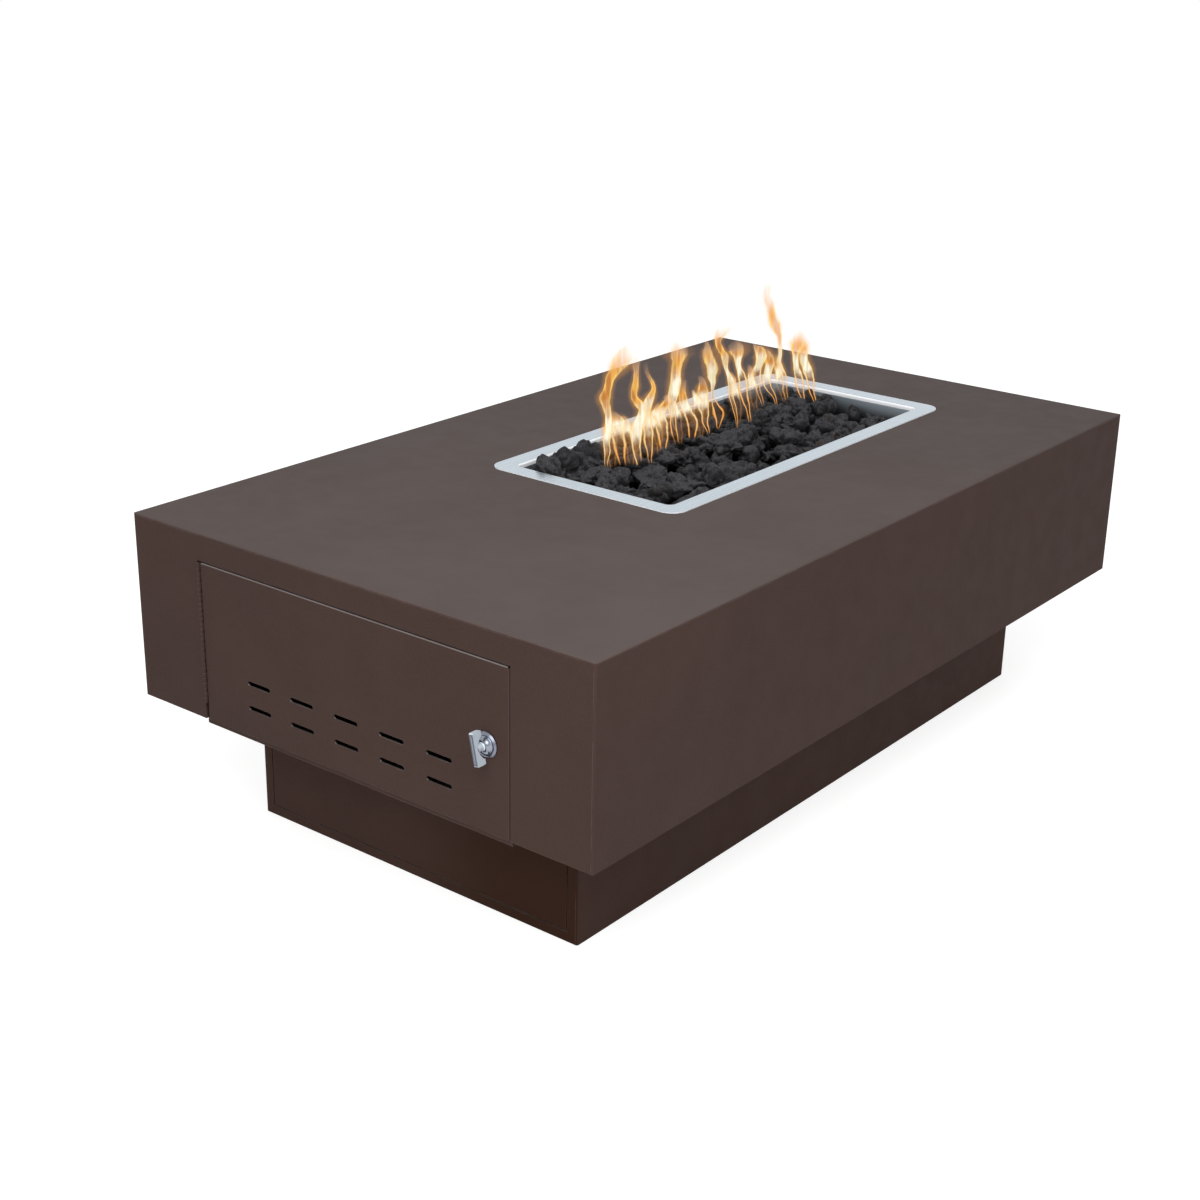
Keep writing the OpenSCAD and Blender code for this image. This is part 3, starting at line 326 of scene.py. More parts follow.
# steel brushed along the length of the table
def brushedSteel(name, look, roughness, contrast=1.0, wallShadeLook=None):
    material, tree, shader = newMaterial(name)
    colour, tint = look
    lines = grain(tree, 0.0009, 2, 0.6, (1, 160, 1))
    broad = grain(tree, 0.006, 3, 0.6, (1, 40, 1))
    smudge = grain(tree, 0.05, 4, 0.6)
    low, high = toned(colour, 1 - 0.16 * contrast), toned(colour, 1 + 0.10 * contrast)
    base = mixColour(tree, ease(tree, lines, 0.3, 0.7), low, high)
    base = mixColour(tree, ease(tree, smudge, 0.35, 0.75, 0, 0.25 * contrast), base, low)
    if tint:
        base = mixColour(tree, ease(tree, broad, 0.4, 0.8, 0, 0.5), base, tint)
    rough = calc(tree, "ADD", ease(tree, lines, 0.25, 0.75, roughness - 0.06, roughness + 0.06),
                 ease(tree, smudge, 0.3, 0.7, -0.03, 0.06))
    metallic = 1.0
    if wallShadeLook:
        # painted shade: darker from the rim down the pan's walls
        height = texturePart(tree, "Object", 2)
        wallShadeMask = calc(tree, "MULTIPLY", ease(tree, height, wallShadeLook["top"], wallShadeLook["foot"]),
                      ease(tree, smudge, 0.2, 0.8, 0.8, 1.0), clamp=True)
        base = mixColour(tree, wallShadeMask, base, wallShadeLook["colour"])
        below = ease(tree, height, wallShadeLook["top"], wallShadeLook["top"] - 0.002)
        rough = blend(tree, below, rough, wallShadeLook["roughness"])
        # painted highlight: the rolled inner edge is made pale and less metallic
        onEdge = ease(tree, height, wallShadeLook["top"] - 0.0022, wallShadeLook["top"] - 0.0012)
        rolled = calc(tree, "MULTIPLY", onEdge,
                      ease(tree, texturePart(tree, "Normal", 2), 0.93, 0.80))
        base = mixColour(tree, rolled, base, wallShadeLook["rolled"])
        rough = blend(tree, rolled, rough, wallShadeLook["rolledRoughness"])
        metallic = blend(tree, rolled, 1.0, wallShadeLook["rolledMetallic"])
    polished = edgeMask(tree, 0.0014, ease(tree, smudge, 0.2, 0.5, 0.6, 1.0))
    base = mixColour(tree, polished, base, toned(colour, 1.5))
    relief = bump(tree, lines, 0.00002, 0.6 * contrast)
    relief = bump(tree, broad, 0.00006, 0.25, relief)
    shade(tree, shader, **{"Base Color": base, "Roughness": rough, "Normal": relief,
                           "Metallic": metallic})
    return material


# cast, plated or turned metal with soft spots of tarnish
def plainMetal(name, look, roughness, spotSize=0.004, relief=0.00004, metallic=1.0):
    material, tree, shader = newMaterial(name)
    colour, spots = look
    fine = grain(tree, 0.0006, 2, 0.6)
    stainAndShade = grain(tree, spotSize, 4, 0.6)
    cloud = grain(tree, 0.03, 2, 0.5)
    base = mixColour(tree, ease(tree, stainAndShade, 0.45, 0.75, 0, 0.55), colour, spots)
    base = mixColour(tree, ease(tree, cloud, 0.4, 0.7, 0, 0.2), base, spots)
    wearAndHighlight = edgeMask(tree, 0.0006, ease(tree, stainAndShade, 0.25, 0.55, 0.35, 0.9))
    base = mixColour(tree, wearAndHighlight, base, toned(colour, 1.4))
    rough = calc(tree, "ADD", ease(tree, stainAndShade, 0.3, 0.7, roughness - 0.05, roughness + 0.10),
                 ease(tree, fine, 0.3, 0.7, -0.03, 0.03))
    normal = bump(tree, stainAndShade, relief, 0.5)
    normal = bump(tree, fine, relief * 0.5, 0.5, normal)
    shade(tree, shader, **{"Base Color": base, "Roughness": rough, "Normal": normal,
                           "Metallic": metallic})
    return material


wingLook = {
    "hubUpTo": -0.6176,                # the wing stands farther out than this y, metres
    "hub": (0.25, 0.27, 0.32, 1),
    "wing": (0.58, 0.66, 0.74, 1),
    "paintedDarkFront": (0.030, 0.030, 0.055, 1),
    "paintedDarkFrontCover": 0.85,
    "wingEdgeHighlight": (0.82, 0.80, 0.83, 1),
    "smudge": (0.36, 0.38, 0.42, 1),
    "hubRoughness": 0.20,
    "wingRoughness": 0.42,
}


# satin wing whose flat front is darkened as a painted dark reflection, with a painted highlight
# along its edges, on a bright turned hub
def latchWing(name):
    material, tree, shader = newMaterial(name)
    cloud = grain(tree, 0.005, 4, 0.6)
    fine = grain(tree, 0.0005, 2, 0.6)
    onWing = ease(tree, texturePart(tree, "Object", 1), wingLook["hubUpTo"] + 0.0003,
                  wingLook["hubUpTo"] - 0.0003)
    # painted highlight along the wing's edges
    wingEdgeHighlight = edgeMask(tree, 0.0007, ease(tree, cloud, 0.2, 0.5, 0.92, 1.0))
    front = calc(tree, "MULTIPLY", ease(tree, texturePart(tree, "Normal", 1), -0.90, -0.98), onWing)
    base = mixColour(tree, onWing, wingLook["hub"], wingLook["wing"])
    base = mixColour(tree, ease(tree, cloud, 0.3, 0.8, 0, 0.25), base, wingLook["smudge"])
    base = mixColour(tree, calc(tree, "MULTIPLY", wingEdgeHighlight, onWing), base, wingLook["wingEdgeHighlight"])
    # painted dark reflection on the wing's flat front
    paintedDarkFront = calc(tree, "MULTIPLY", front, wingLook["paintedDarkFrontCover"])
    base = mixColour(tree, paintedDarkFront, base, wingLook["paintedDarkFront"])
    rough = blend(tree, onWing, wingLook["hubRoughness"], wingLook["wingRoughness"])
    rough = calc(tree, "ADD", rough, ease(tree, cloud, 0.3, 0.7, -0.04, 0.05))
    normal = bump(tree, fine, 0.00002, 0.5)
    shade(tree, shader, **{"Base Color": base, "Roughness": rough, "Normal": normal,
                           "Metallic": blend(tree, onWing, 1.0, 0.25)})
    return material


gripLook = {"colour": (0.62, 0.36, 0.03, 1), "scuffed": (0.40, 0.24, 0.05, 1), "roughness": 0.52}


def dippedGrip(name):
    material, tree, shader = newMaterial(name)
    scuffs = grain(tree, 0.006, 5, 0.65)
    skin = grain(tree, 0.0008, 2, 0.5)
    rubbedAndHighlight = calc(tree, "MAXIMUM", ease(tree, scuffs, 0.5, 0.8, 0, 0.7),
                  edgeMask(tree, 0.0010, ease(tree, scuffs, 0.25, 0.55, 0.3, 0.9)))
    base = mixColour(tree, rubbedAndHighlight, gripLook["colour"], gripLook["scuffed"])
    rough = ease(tree, scuffs, 0.3, 0.8, gripLook["roughness"] - 0.08, gripLook["roughness"] + 0.2)
    normal = bump(tree, skin, 0.00005, 0.6)
    shade(tree, shader, **{"Base Color": base, "Roughness": rough, "Normal": normal})
    return material


stoneLook = {
    "dark": (0.0085, 0.0082, 0.0090, 1),
    "light": (0.053, 0.051, 0.055, 1),
    "pale": (0.205, 0.214, 0.232, 1),
    "rusty": (0.070, 0.050, 0.040, 1),
    "pore": 0.0042,                    # metres across
    "crumb": 0.0016,
}


def lavaStone(name):
    material, tree, shader = newMaterial(name)
    broad = grain(tree, 0.045, 3, 0.6)
    lumps = grain(tree, 0.009, 5, 0.65)
    crumbs = grain(tree, stoneLook["crumb"], 3, 0.7)
    pores = cells(tree, stoneLook["pore"])
    pits = cells(tree, stoneLook["pore"] * 0.42)
    # pores and pits: they darken the colour as painted shade in them, and give the bumps
    hollow = calc(tree, "MULTIPLY", ease(tree, pores, 0.10, 0.42, 0.45, 1),
                  ease(tree, pits, 0.08, 0.40, 0.65, 1))
    tone = calc(tree, "MULTIPLY", ease(tree, lumps, 0.30, 0.75, 0.12, 1), hollow)
    own = calc(tree, "ADD", uvPart(tree, "tone", 0), 0.45)
    # painted light: faces of a stone that look up are lighter, those that look down darker
    paintedTopLight = ease(tree, texturePart(tree, "Normal", 2), -0.1, 0.95, 0.30, 1.55)
    gaps = addNode(tree, "ShaderNodeAmbientOcclusion", {"samples": 4}, {"Distance": 0.035})
    # painted shade: darker in the gaps and creases where other stones close in
    paintedGapShade = ease(tree, gaps.outputs["AO"], 0.25, 0.85, 0.05, 1.35)
    for factor in (own, paintedTopLight, paintedGapShade):
        tone = calc(tree, "MULTIPLY", tone, factor)
    base = mixColour(tree, tone, stoneLook["dark"], stoneLook["light"])
    base = mixColour(tree, ease(tree, broad, 0.58, 0.75, 0, 0.6), base, stoneLook["rusty"])
    # pale crumbs, weighted by the painted light and shade above, so they also stand as painted
    # glints on lit tops
    crumbsAndGlints = calc(tree, "MULTIPLY", ease(tree, crumbs, 0.58, 0.75, 0, 0.55), tone, clamp=True)
    base = mixColour(tree, crumbsAndGlints, base, stoneLook["pale"])
    normal = bump(tree, lumps, 0.0042, 1.0)
    normal = bump(tree, hollow, 0.0020, 0.9, normal)
    normal = bump(tree, crumbs, 0.0010, 0.9, normal)
    rough = ease(tree, crumbs, 0.2, 0.8, 0.86, 1.0)
    shade(tree, shader, **{"Base Color": base, "Roughness": rough, "Normal": normal,
                           "Specular IOR Level": 0.25})
    return material


# painted shade: the pan's walls darken from the rim downwards
panWallShading = {
    "top": 0.4030,                     # height of the rim, metres
    "foot": 0.374,                     # and where the painted shade is full
    "colour": (0.060, 0.053, 0.048, 1),
    "roughness": 0.55,
    "rolled": (0.90, 0.91, 0.93, 1),
    "rolledRoughness": 0.45,
    "rolledMetallic": 0.15,
}


def makeFinishes():
    return {
        "paint": powderCoat("powder coat", paintLook["outside"]),
        "paintPlinth": powderCoat("powder coat plinth", paintLook["plinth"], overhangShaded=True),
        # the door has the full painted highlight along its folds
        "paintDoor": powderCoat("powder coat door", paintLook["outside"], 1.0,
                                paintLook["doorWearAndHighlight"]),
        "paintInside": powderCoat("powder coat inside", paintLook["inside"]),
        "pan": brushedSteel("brushed pan", metalLook["pan"], 0.24, 0.5, panWallShading),
        "burner": brushedSteel("heat tinted steel", metalLook["burner"], 0.46),
        "latch": plainMetal("latch plating", metalLook["latch"], 0.26, 0.006),
        "wing": latchWing("latch wing"),
        "zinc": plainMetal("zinc plating", metalLook["zinc"], 0.36),
        "brass": plainMetal("brass", metalLook["brass"], 0.30, 0.005),
        "blackIron": plainMetal("black iron", metalLook["blackIron"], 0.52, 0.008, 0.00012, 0.35),
        "hose": plainMetal("hose steel", metalLook["hose"], 0.27),
        "grip": dippedGrip("dipped grip"),
        "stone": lavaStone("lava stone"),
    }


# finish by material slot, and nodes that have their own
slotFinish = {
    "paint": "paint", "paint_inside": "paintInside", "stainless": "burner", "latch_steel": "latch",
    "zinc": "zinc", "brass": "brass", "black_iron": "blackIron", "hose": "hose", "grip": "grip",
    "rock": "stone",
}
ownFinish = {
    "burner_pan": "pan", "latch_handle": "wing", "door_panel": "paintDoor", "valve_ball": "hose",
    "plinth_left": "paintPlinth", "plinth_right": "paintPlinth", "plinth_rear": "paintPlinth",
    "plinth_front": "paintPlinth", "plinth_panel": "paintPlinth",
}


def dressNodes(finishes):
    slotOf = {row["node"]: row["material_slot"] for row in frame["record"]["subparts"]}
    for name, node in nodes.items():
        finish = ownFinish.get(name, slotFinish[slotOf[name]])
        node.data.materials.clear()
        node.data.materials.append(finishes[finish])


# turns a bmesh into a piece that rides on a CAD body, or on none for the stage
def newPiece(name, shape, material, body):
    mesh = bpy.data.meshes.new(name)
    shape.to_mesh(mesh)
    shape.free()
    piece = bpy.data.objects.new(name, mesh)
    bpy.context.scene.collection.objects.link(piece)
    mesh.materials.append(material)
    if body:
        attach(piece, body)
    return piece


# lava rock: each CAD stone is a plain hull, and a knobbly stone made here fills it

rockMake = {
    "seed": 11,
    "levels": {"large": 5, "small": 4, "bed": 3},  # icosphere subdivisions
    "widths": {"large": (1.50, 1.90), "small": (0.80, 1.02)},  # beside that of the hull
    "heights": {"large": 1.02, "small": 0.90},
    "lifts": {"large": 0.005, "small": -0.005},    # metres
    "largeShare": 0.40,
    "moundCorner": (-0.055, -0.045),   # left and in front of here all are large
    "topmost": 0.4245,                 # metres
    "turn": 0.6,                       # radians that a stone is turned in its hull, at most
    "shift": 0.004,                    # metres to either side
    "stretch": 0.15,
    "weld": 1e-5,                      # metres between corners that are one
    "leastReach": 1e-4,
    "corners": 8,                      # how closely the softened hull keeps to its corners
    "lumps": ((0.042, 0.0125), (0.0180, 0.0044), (0.0070, 0.0014)),  # across, depth
    "lumpRise": (2.6, 0.75),           # gain of the noise, and what is taken off it
    "cleft": (0.028, 0.0050, 0.14),    # across, depth, width
    "facet": (0.021, 0.0046, 0.30),    # across, depth, width of the crease
    "facetSink": 0.6,
    "deepest": 0.5,                    # share of the radius that may be cut away
    "noiseSpan": 50,                   # each stone reads the noise at a place of its own
    "facetShift": 0.01,                # and the facets at a nearer one
}


# middle of each CAD stone, and the direction and distance of its faces from there
def stoneHulls():
    shape = bmesh.new()
    shape.from_mesh(nodes["lava_rocks"].data)
    bmesh.ops.remove_doubles(shape, verts=shape.verts, dist=rockMake["weld"])
    shape.normal_update()
    hulls, seen = [], set()
    for start in shape.verts:
        if start.index in seen:
            continue
        island, queue = [], [start]
        seen.add(start.index)
        while queue:
            vert = queue.pop()
            island.append(vert)
            for edge in vert.link_edges:
                other = edge.other_vert(vert)
                if other.index not in seen:
                    seen.add(other.index)
                    queue.append(other)
        points = np.array([v.co[:] for v in island])
        centre = (points.min(0) + points.max(0)) / 2
        faces = {f for v in island for f in v.link_faces}
        normals = np.array([f.normal[:] for f in faces])
        reach = np.array([f.normal.dot(f.verts[0].co - Vector(centre)) for f in faces])
        hulls.append((centre, normals, np.maximum(reach, rockMake["leastReach"])))
    shape.free()
    return hulls


# a stone that reaches past the CAD rock is moved back inside
def keepInPan(verts, low, high):
    places = np.array([v.co[:] for v in verts])
    back = np.maximum(low - places.min(0), 0) - np.maximum(places.max(0) - high, 0)
    for vert in verts:
        vert.co += Vector(back)


# an icosphere is pushed out to a softened copy of the hull, and then gets its lumps
def carveStone(shape, hull, kind, room, dice, toneMap):
    centre, normals, reach = hull
    fineness = rockMake["levels"][kind]
    made = bmesh.ops.create_icosphere(shape, subdivisions=fineness, radius=1)["verts"]
    directions = np.array([v.co.normalized()[:] for v in made])
    turn = Matrix.Rotation(dice.uniform(-1, 1) * rockMake["turn"], 3, Vector((
        dice.uniform(-0.5, 0.5), dice.uniform(-0.5, 0.5), 1)).normalized())
    turned = directions @ np.array(turn)
    closeness = np.maximum(turned @ normals.T, 0) / reach
    corners = rockMake["corners"]
    radius = (closeness ** corners).sum(1) ** (-1 / corners)
    size = "large" if kind == "large" else "small"
    grow = dice.uniform(*rockMake["widths"][size])
    cleftAcross, cleftDepth, cleftWidth = rockMake["cleft"]
    facetAcross, facetDepth, facetWidth = rockMake["facet"]
    wide = Vector([grow * (1 + dice.uniform(-1, 1) * rockMake["stretch"]) for _ in range(3)])
    wide.z = rockMake["heights"][size]
    aside = Vector((dice.uniform(-1, 1), dice.uniform(-1, 1), 0))
    middle = Vector(centre) + aside * rockMake["shift"]
    middle.z += rockMake["lifts"][size]
    span = rockMake["noiseSpan"]
    shift = Vector([dice.uniform(-span, span) for _ in range(3)])
    tone = dice.random()
    gain, loss = rockMake["lumpRise"]
    facetShift = shift * rockMake["facetShift"]
    for vert, direction, r in zip(made, directions, radius):
        d = Vector(direction)
        place = Vector([d[i] * wide[i] for i in range(3)]) * float(r)
        push = 0
        for across, depth in rockMake["lumps"]:
            push += depth * (gain * abs(noise.noise(place / across + shift)) - loss)
        split = abs(noise.noise(place / cleftAcross - shift)) / cleftWidth
        push -= cleftDepth * max(0, 1 - split)
        nearest, second = noise.voronoi((place + facetShift) / facetAcross)[0][:2]
        push += facetDepth * (min(1, (second - nearest) / facetWidth) - rockMake["facetSink"])
        vert.co = middle + place + d * max(push, -rockMake["deepest"] * float(r))
    keepInPan(made, *room)
    for face in {f for vert in made for f in vert.link_faces}:
        for loop in face.loops:
            loop[toneMap].uv = (tone, 0.5)


def makeStones(finishes):
    dice = random.Random(rockMake["seed"])
    hulls = stoneHulls()
    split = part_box("burner_pipe")[1].z
    room = [np.array(corner[:]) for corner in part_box("lava_rocks")]
    room[1][2] = rockMake["topmost"]
    heaps = {"large": [], "small": [], "bed": []}
    moundX, moundY = rockMake["moundCorner"]
    for hull in hulls:
        atMound = hull[0][0] < moundX and hull[0][1] < moundY
        onTop = "large" if atMound or dice.random() < rockMake["largeShare"] else "small"
        heaps[onTop if hull[0][2] > split else "bed"].append(hull)
    for kind, name in (("large", "lava_stones"), ("small", "lava_chips"), ("bed", "lava_bed")):
        shape = bmesh.new()
        toneMap = shape.loops.layers.uv.new("tone")
        for hull in heaps[kind]:
            carveStone(shape, hull, kind, room, dice, toneMap)
        for face in shape.faces:
            face.smooth = True
        piece = newPiece(name, shape, finishes["stone"], "cabinet")
        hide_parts("lava_rocks")
    print("stones:", ", ".join(f"{len(heap)} {kind}" for kind, heap in heaps.items()))


# lip under the door: the CAD sill, with a folded hem that hangs lower and is open at both ends

sillMake = {
    "ahead": 0.0020,                   # metres in front of the CAD sill
    "drop": 0.0067,                    # from the top of the sill to the foot of the hem
    "depth": 0.0060,
    "wall": 0.0012,
    "soft": 0.0005,                    # rounding of the hem's long edges
}


def makeSill(finishes):
    low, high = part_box("door_sill")
    front, top, foot = low.y - sillMake["ahead"], high.z, high.z - sillMake["drop"]
    behind, wall = front + sillMake["depth"], sillMake["wall"]
    profile = [(front, top), (front, foot), (behind, foot), (behind, low.z), (high.y, low.z),
               (high.y, top), (behind, top)]
    hollow = [(front + wall, top - wall), (front + wall, foot + wall), (behind - wall, foot + wall),
              (behind - wall, top - wall)]
    shape = bmesh.new()
    ends = [[shape.verts.new((x, y, z)) for y, z in profile + hollow] for x in (low.x, high.x)]
    corners = list(range(len(profile + hollow)))
    for loop in (corners[:len(profile)], corners[len(profile):]):
        for i, k in zip(loop, loop[1:] + loop[:1]):
            shape.faces.new((ends[0][i], ends[0][k], ends[1][k], ends[1][i]))
    # each end is a ring round the hollow, and the closed bar behind it
    for end in ends:
        for face in ((0, 1, 8, 7), (1, 2, 9, 8), (2, 3, 6, 10, 9), (6, 0, 7, 10), (3, 4, 5, 6)):
            shape.faces.new([end[i] for i in face])
    bmesh.ops.recalc_face_normals(shape, faces=shape.faces)
    soft = [shape.edges.get((ends[0][i], ends[1][i])) for i in (0, 1, 2)]
    bmesh.ops.bevel(shape, geom=soft, offset=sillMake["soft"], segments=2, affect="EDGES")
    sill = newPiece("door_sill_hem", shape, finishes["paint"], "cabinet")
    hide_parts("door_sill")
    print("sill made")


# gas hose: the same curve as the CAD hose, with rounder and finer ribs

hoseMake = {
    "front": (0.060, -0.3375, 0.214),  # metres
    "rear": (-0.0075, 0.06975, 0.278),
    "cuff": 0.0184,
    "bend": 0.150,                     # how far each end pulls the curve along y
    "crest": 0.0092,                   # radius
    "root": 0.0074,
    "bore": 0.0062,
    "ribs": 96,
    "ribShape": 0.7,                   # under 1 the crests and roots are broader
    "sides": 28,
    "stepsPerRib": 6,
    "stepsPerBoreRing": 12,
}


# place on the hose between its cuffs, t from 0 at the valve to 1 at the burner
def hosePoint(t):
    front, rear = Vector(hoseMake["front"]), Vector(hoseMake["rear"])
    a = front + Vector((0, hoseMake["cuff"], 0))
    d = rear - Vector((0, hoseMake["cuff"], 0))
    b, c = a + Vector((0, hoseMake["bend"], 0)), d - Vector((0, hoseMake["bend"], 0))
    s = 1 - t
    return a * s ** 3 + b * 3 * s * s * t + c * 3 * s * t * t + d * t ** 3


# circles joined one to the next; each ring is (place, run, radius)
def sweepRings(shape, rings, sides):
    previous = None
    first = None
    for place, run, radius in rings:
        side = run.cross(Vector((0, 0, 1))).normalized()
        turn = Matrix((side, side.cross(run), run)).transposed().to_4x4()
        made = bmesh.ops.create_circle(shape, segments=sides, radius=radius,
                                       matrix=Matrix.Translation(place) @ turn)["verts"]
        edges = list({e for v in made for e in v.link_edges})
        if previous is not None:
            bmesh.ops.bridge_loops(shape, edges=previous + edges)
        else:
            first = edges
        previous = edges
    return first, previous


def makeHose(finishes):
    shape = bmesh.new()
    count = hoseMake["ribs"] * hoseMake["stepsPerRib"]
    root, bore = hoseMake["root"], hoseMake["bore"]
    middle, swing = (hoseMake["crest"] + root) / 2, (hoseMake["crest"] - root) / 2
    front, rear, straight = Vector(hoseMake["front"]), Vector(hoseMake["rear"]), Vector((0, 1, 0))
    outer, inner = [(front, straight, root)], [(front, straight, bore)]
    step = 0.002                       # of the whole length, to find which way the hose runs
    for i in range(count + 1):
        t = i / count
        run = (hosePoint(min(t + step, 1)) - hosePoint(max(t - step, 0))).normalized()
        wave = math.cos(2 * math.pi * i / hoseMake["stepsPerRib"])
        wave = math.copysign(abs(wave) ** hoseMake["ribShape"], wave)
        outer.append((hosePoint(t), run, middle - swing * wave))
        if i % hoseMake["stepsPerBoreRing"] == 0:
            inner.append((hosePoint(t), run, bore))
    outer.append((rear, straight, root))
    inner.append((rear, straight, bore))
    outerEnds = sweepRings(shape, outer, hoseMake["sides"])
    innerEnds = sweepRings(shape, inner, hoseMake["sides"])
    for outerEdges, innerEdges in zip(outerEnds, innerEnds):
        bmesh.ops.bridge_loops(shape, edges=outerEdges + innerEdges)
    bmesh.ops.recalc_face_normals(shape, faces=shape.faces)
    for face in shape.faces:
        face.smooth = True
    hose = newPiece("gas_hose_ribbed", shape, finishes["hose"], "cabinet")
    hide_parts("gas_hose")
    print("hose made with", hoseMake["ribs"], "ribs")


# flames: burning gas and no solid piece, so they belong to the stage and not to the table

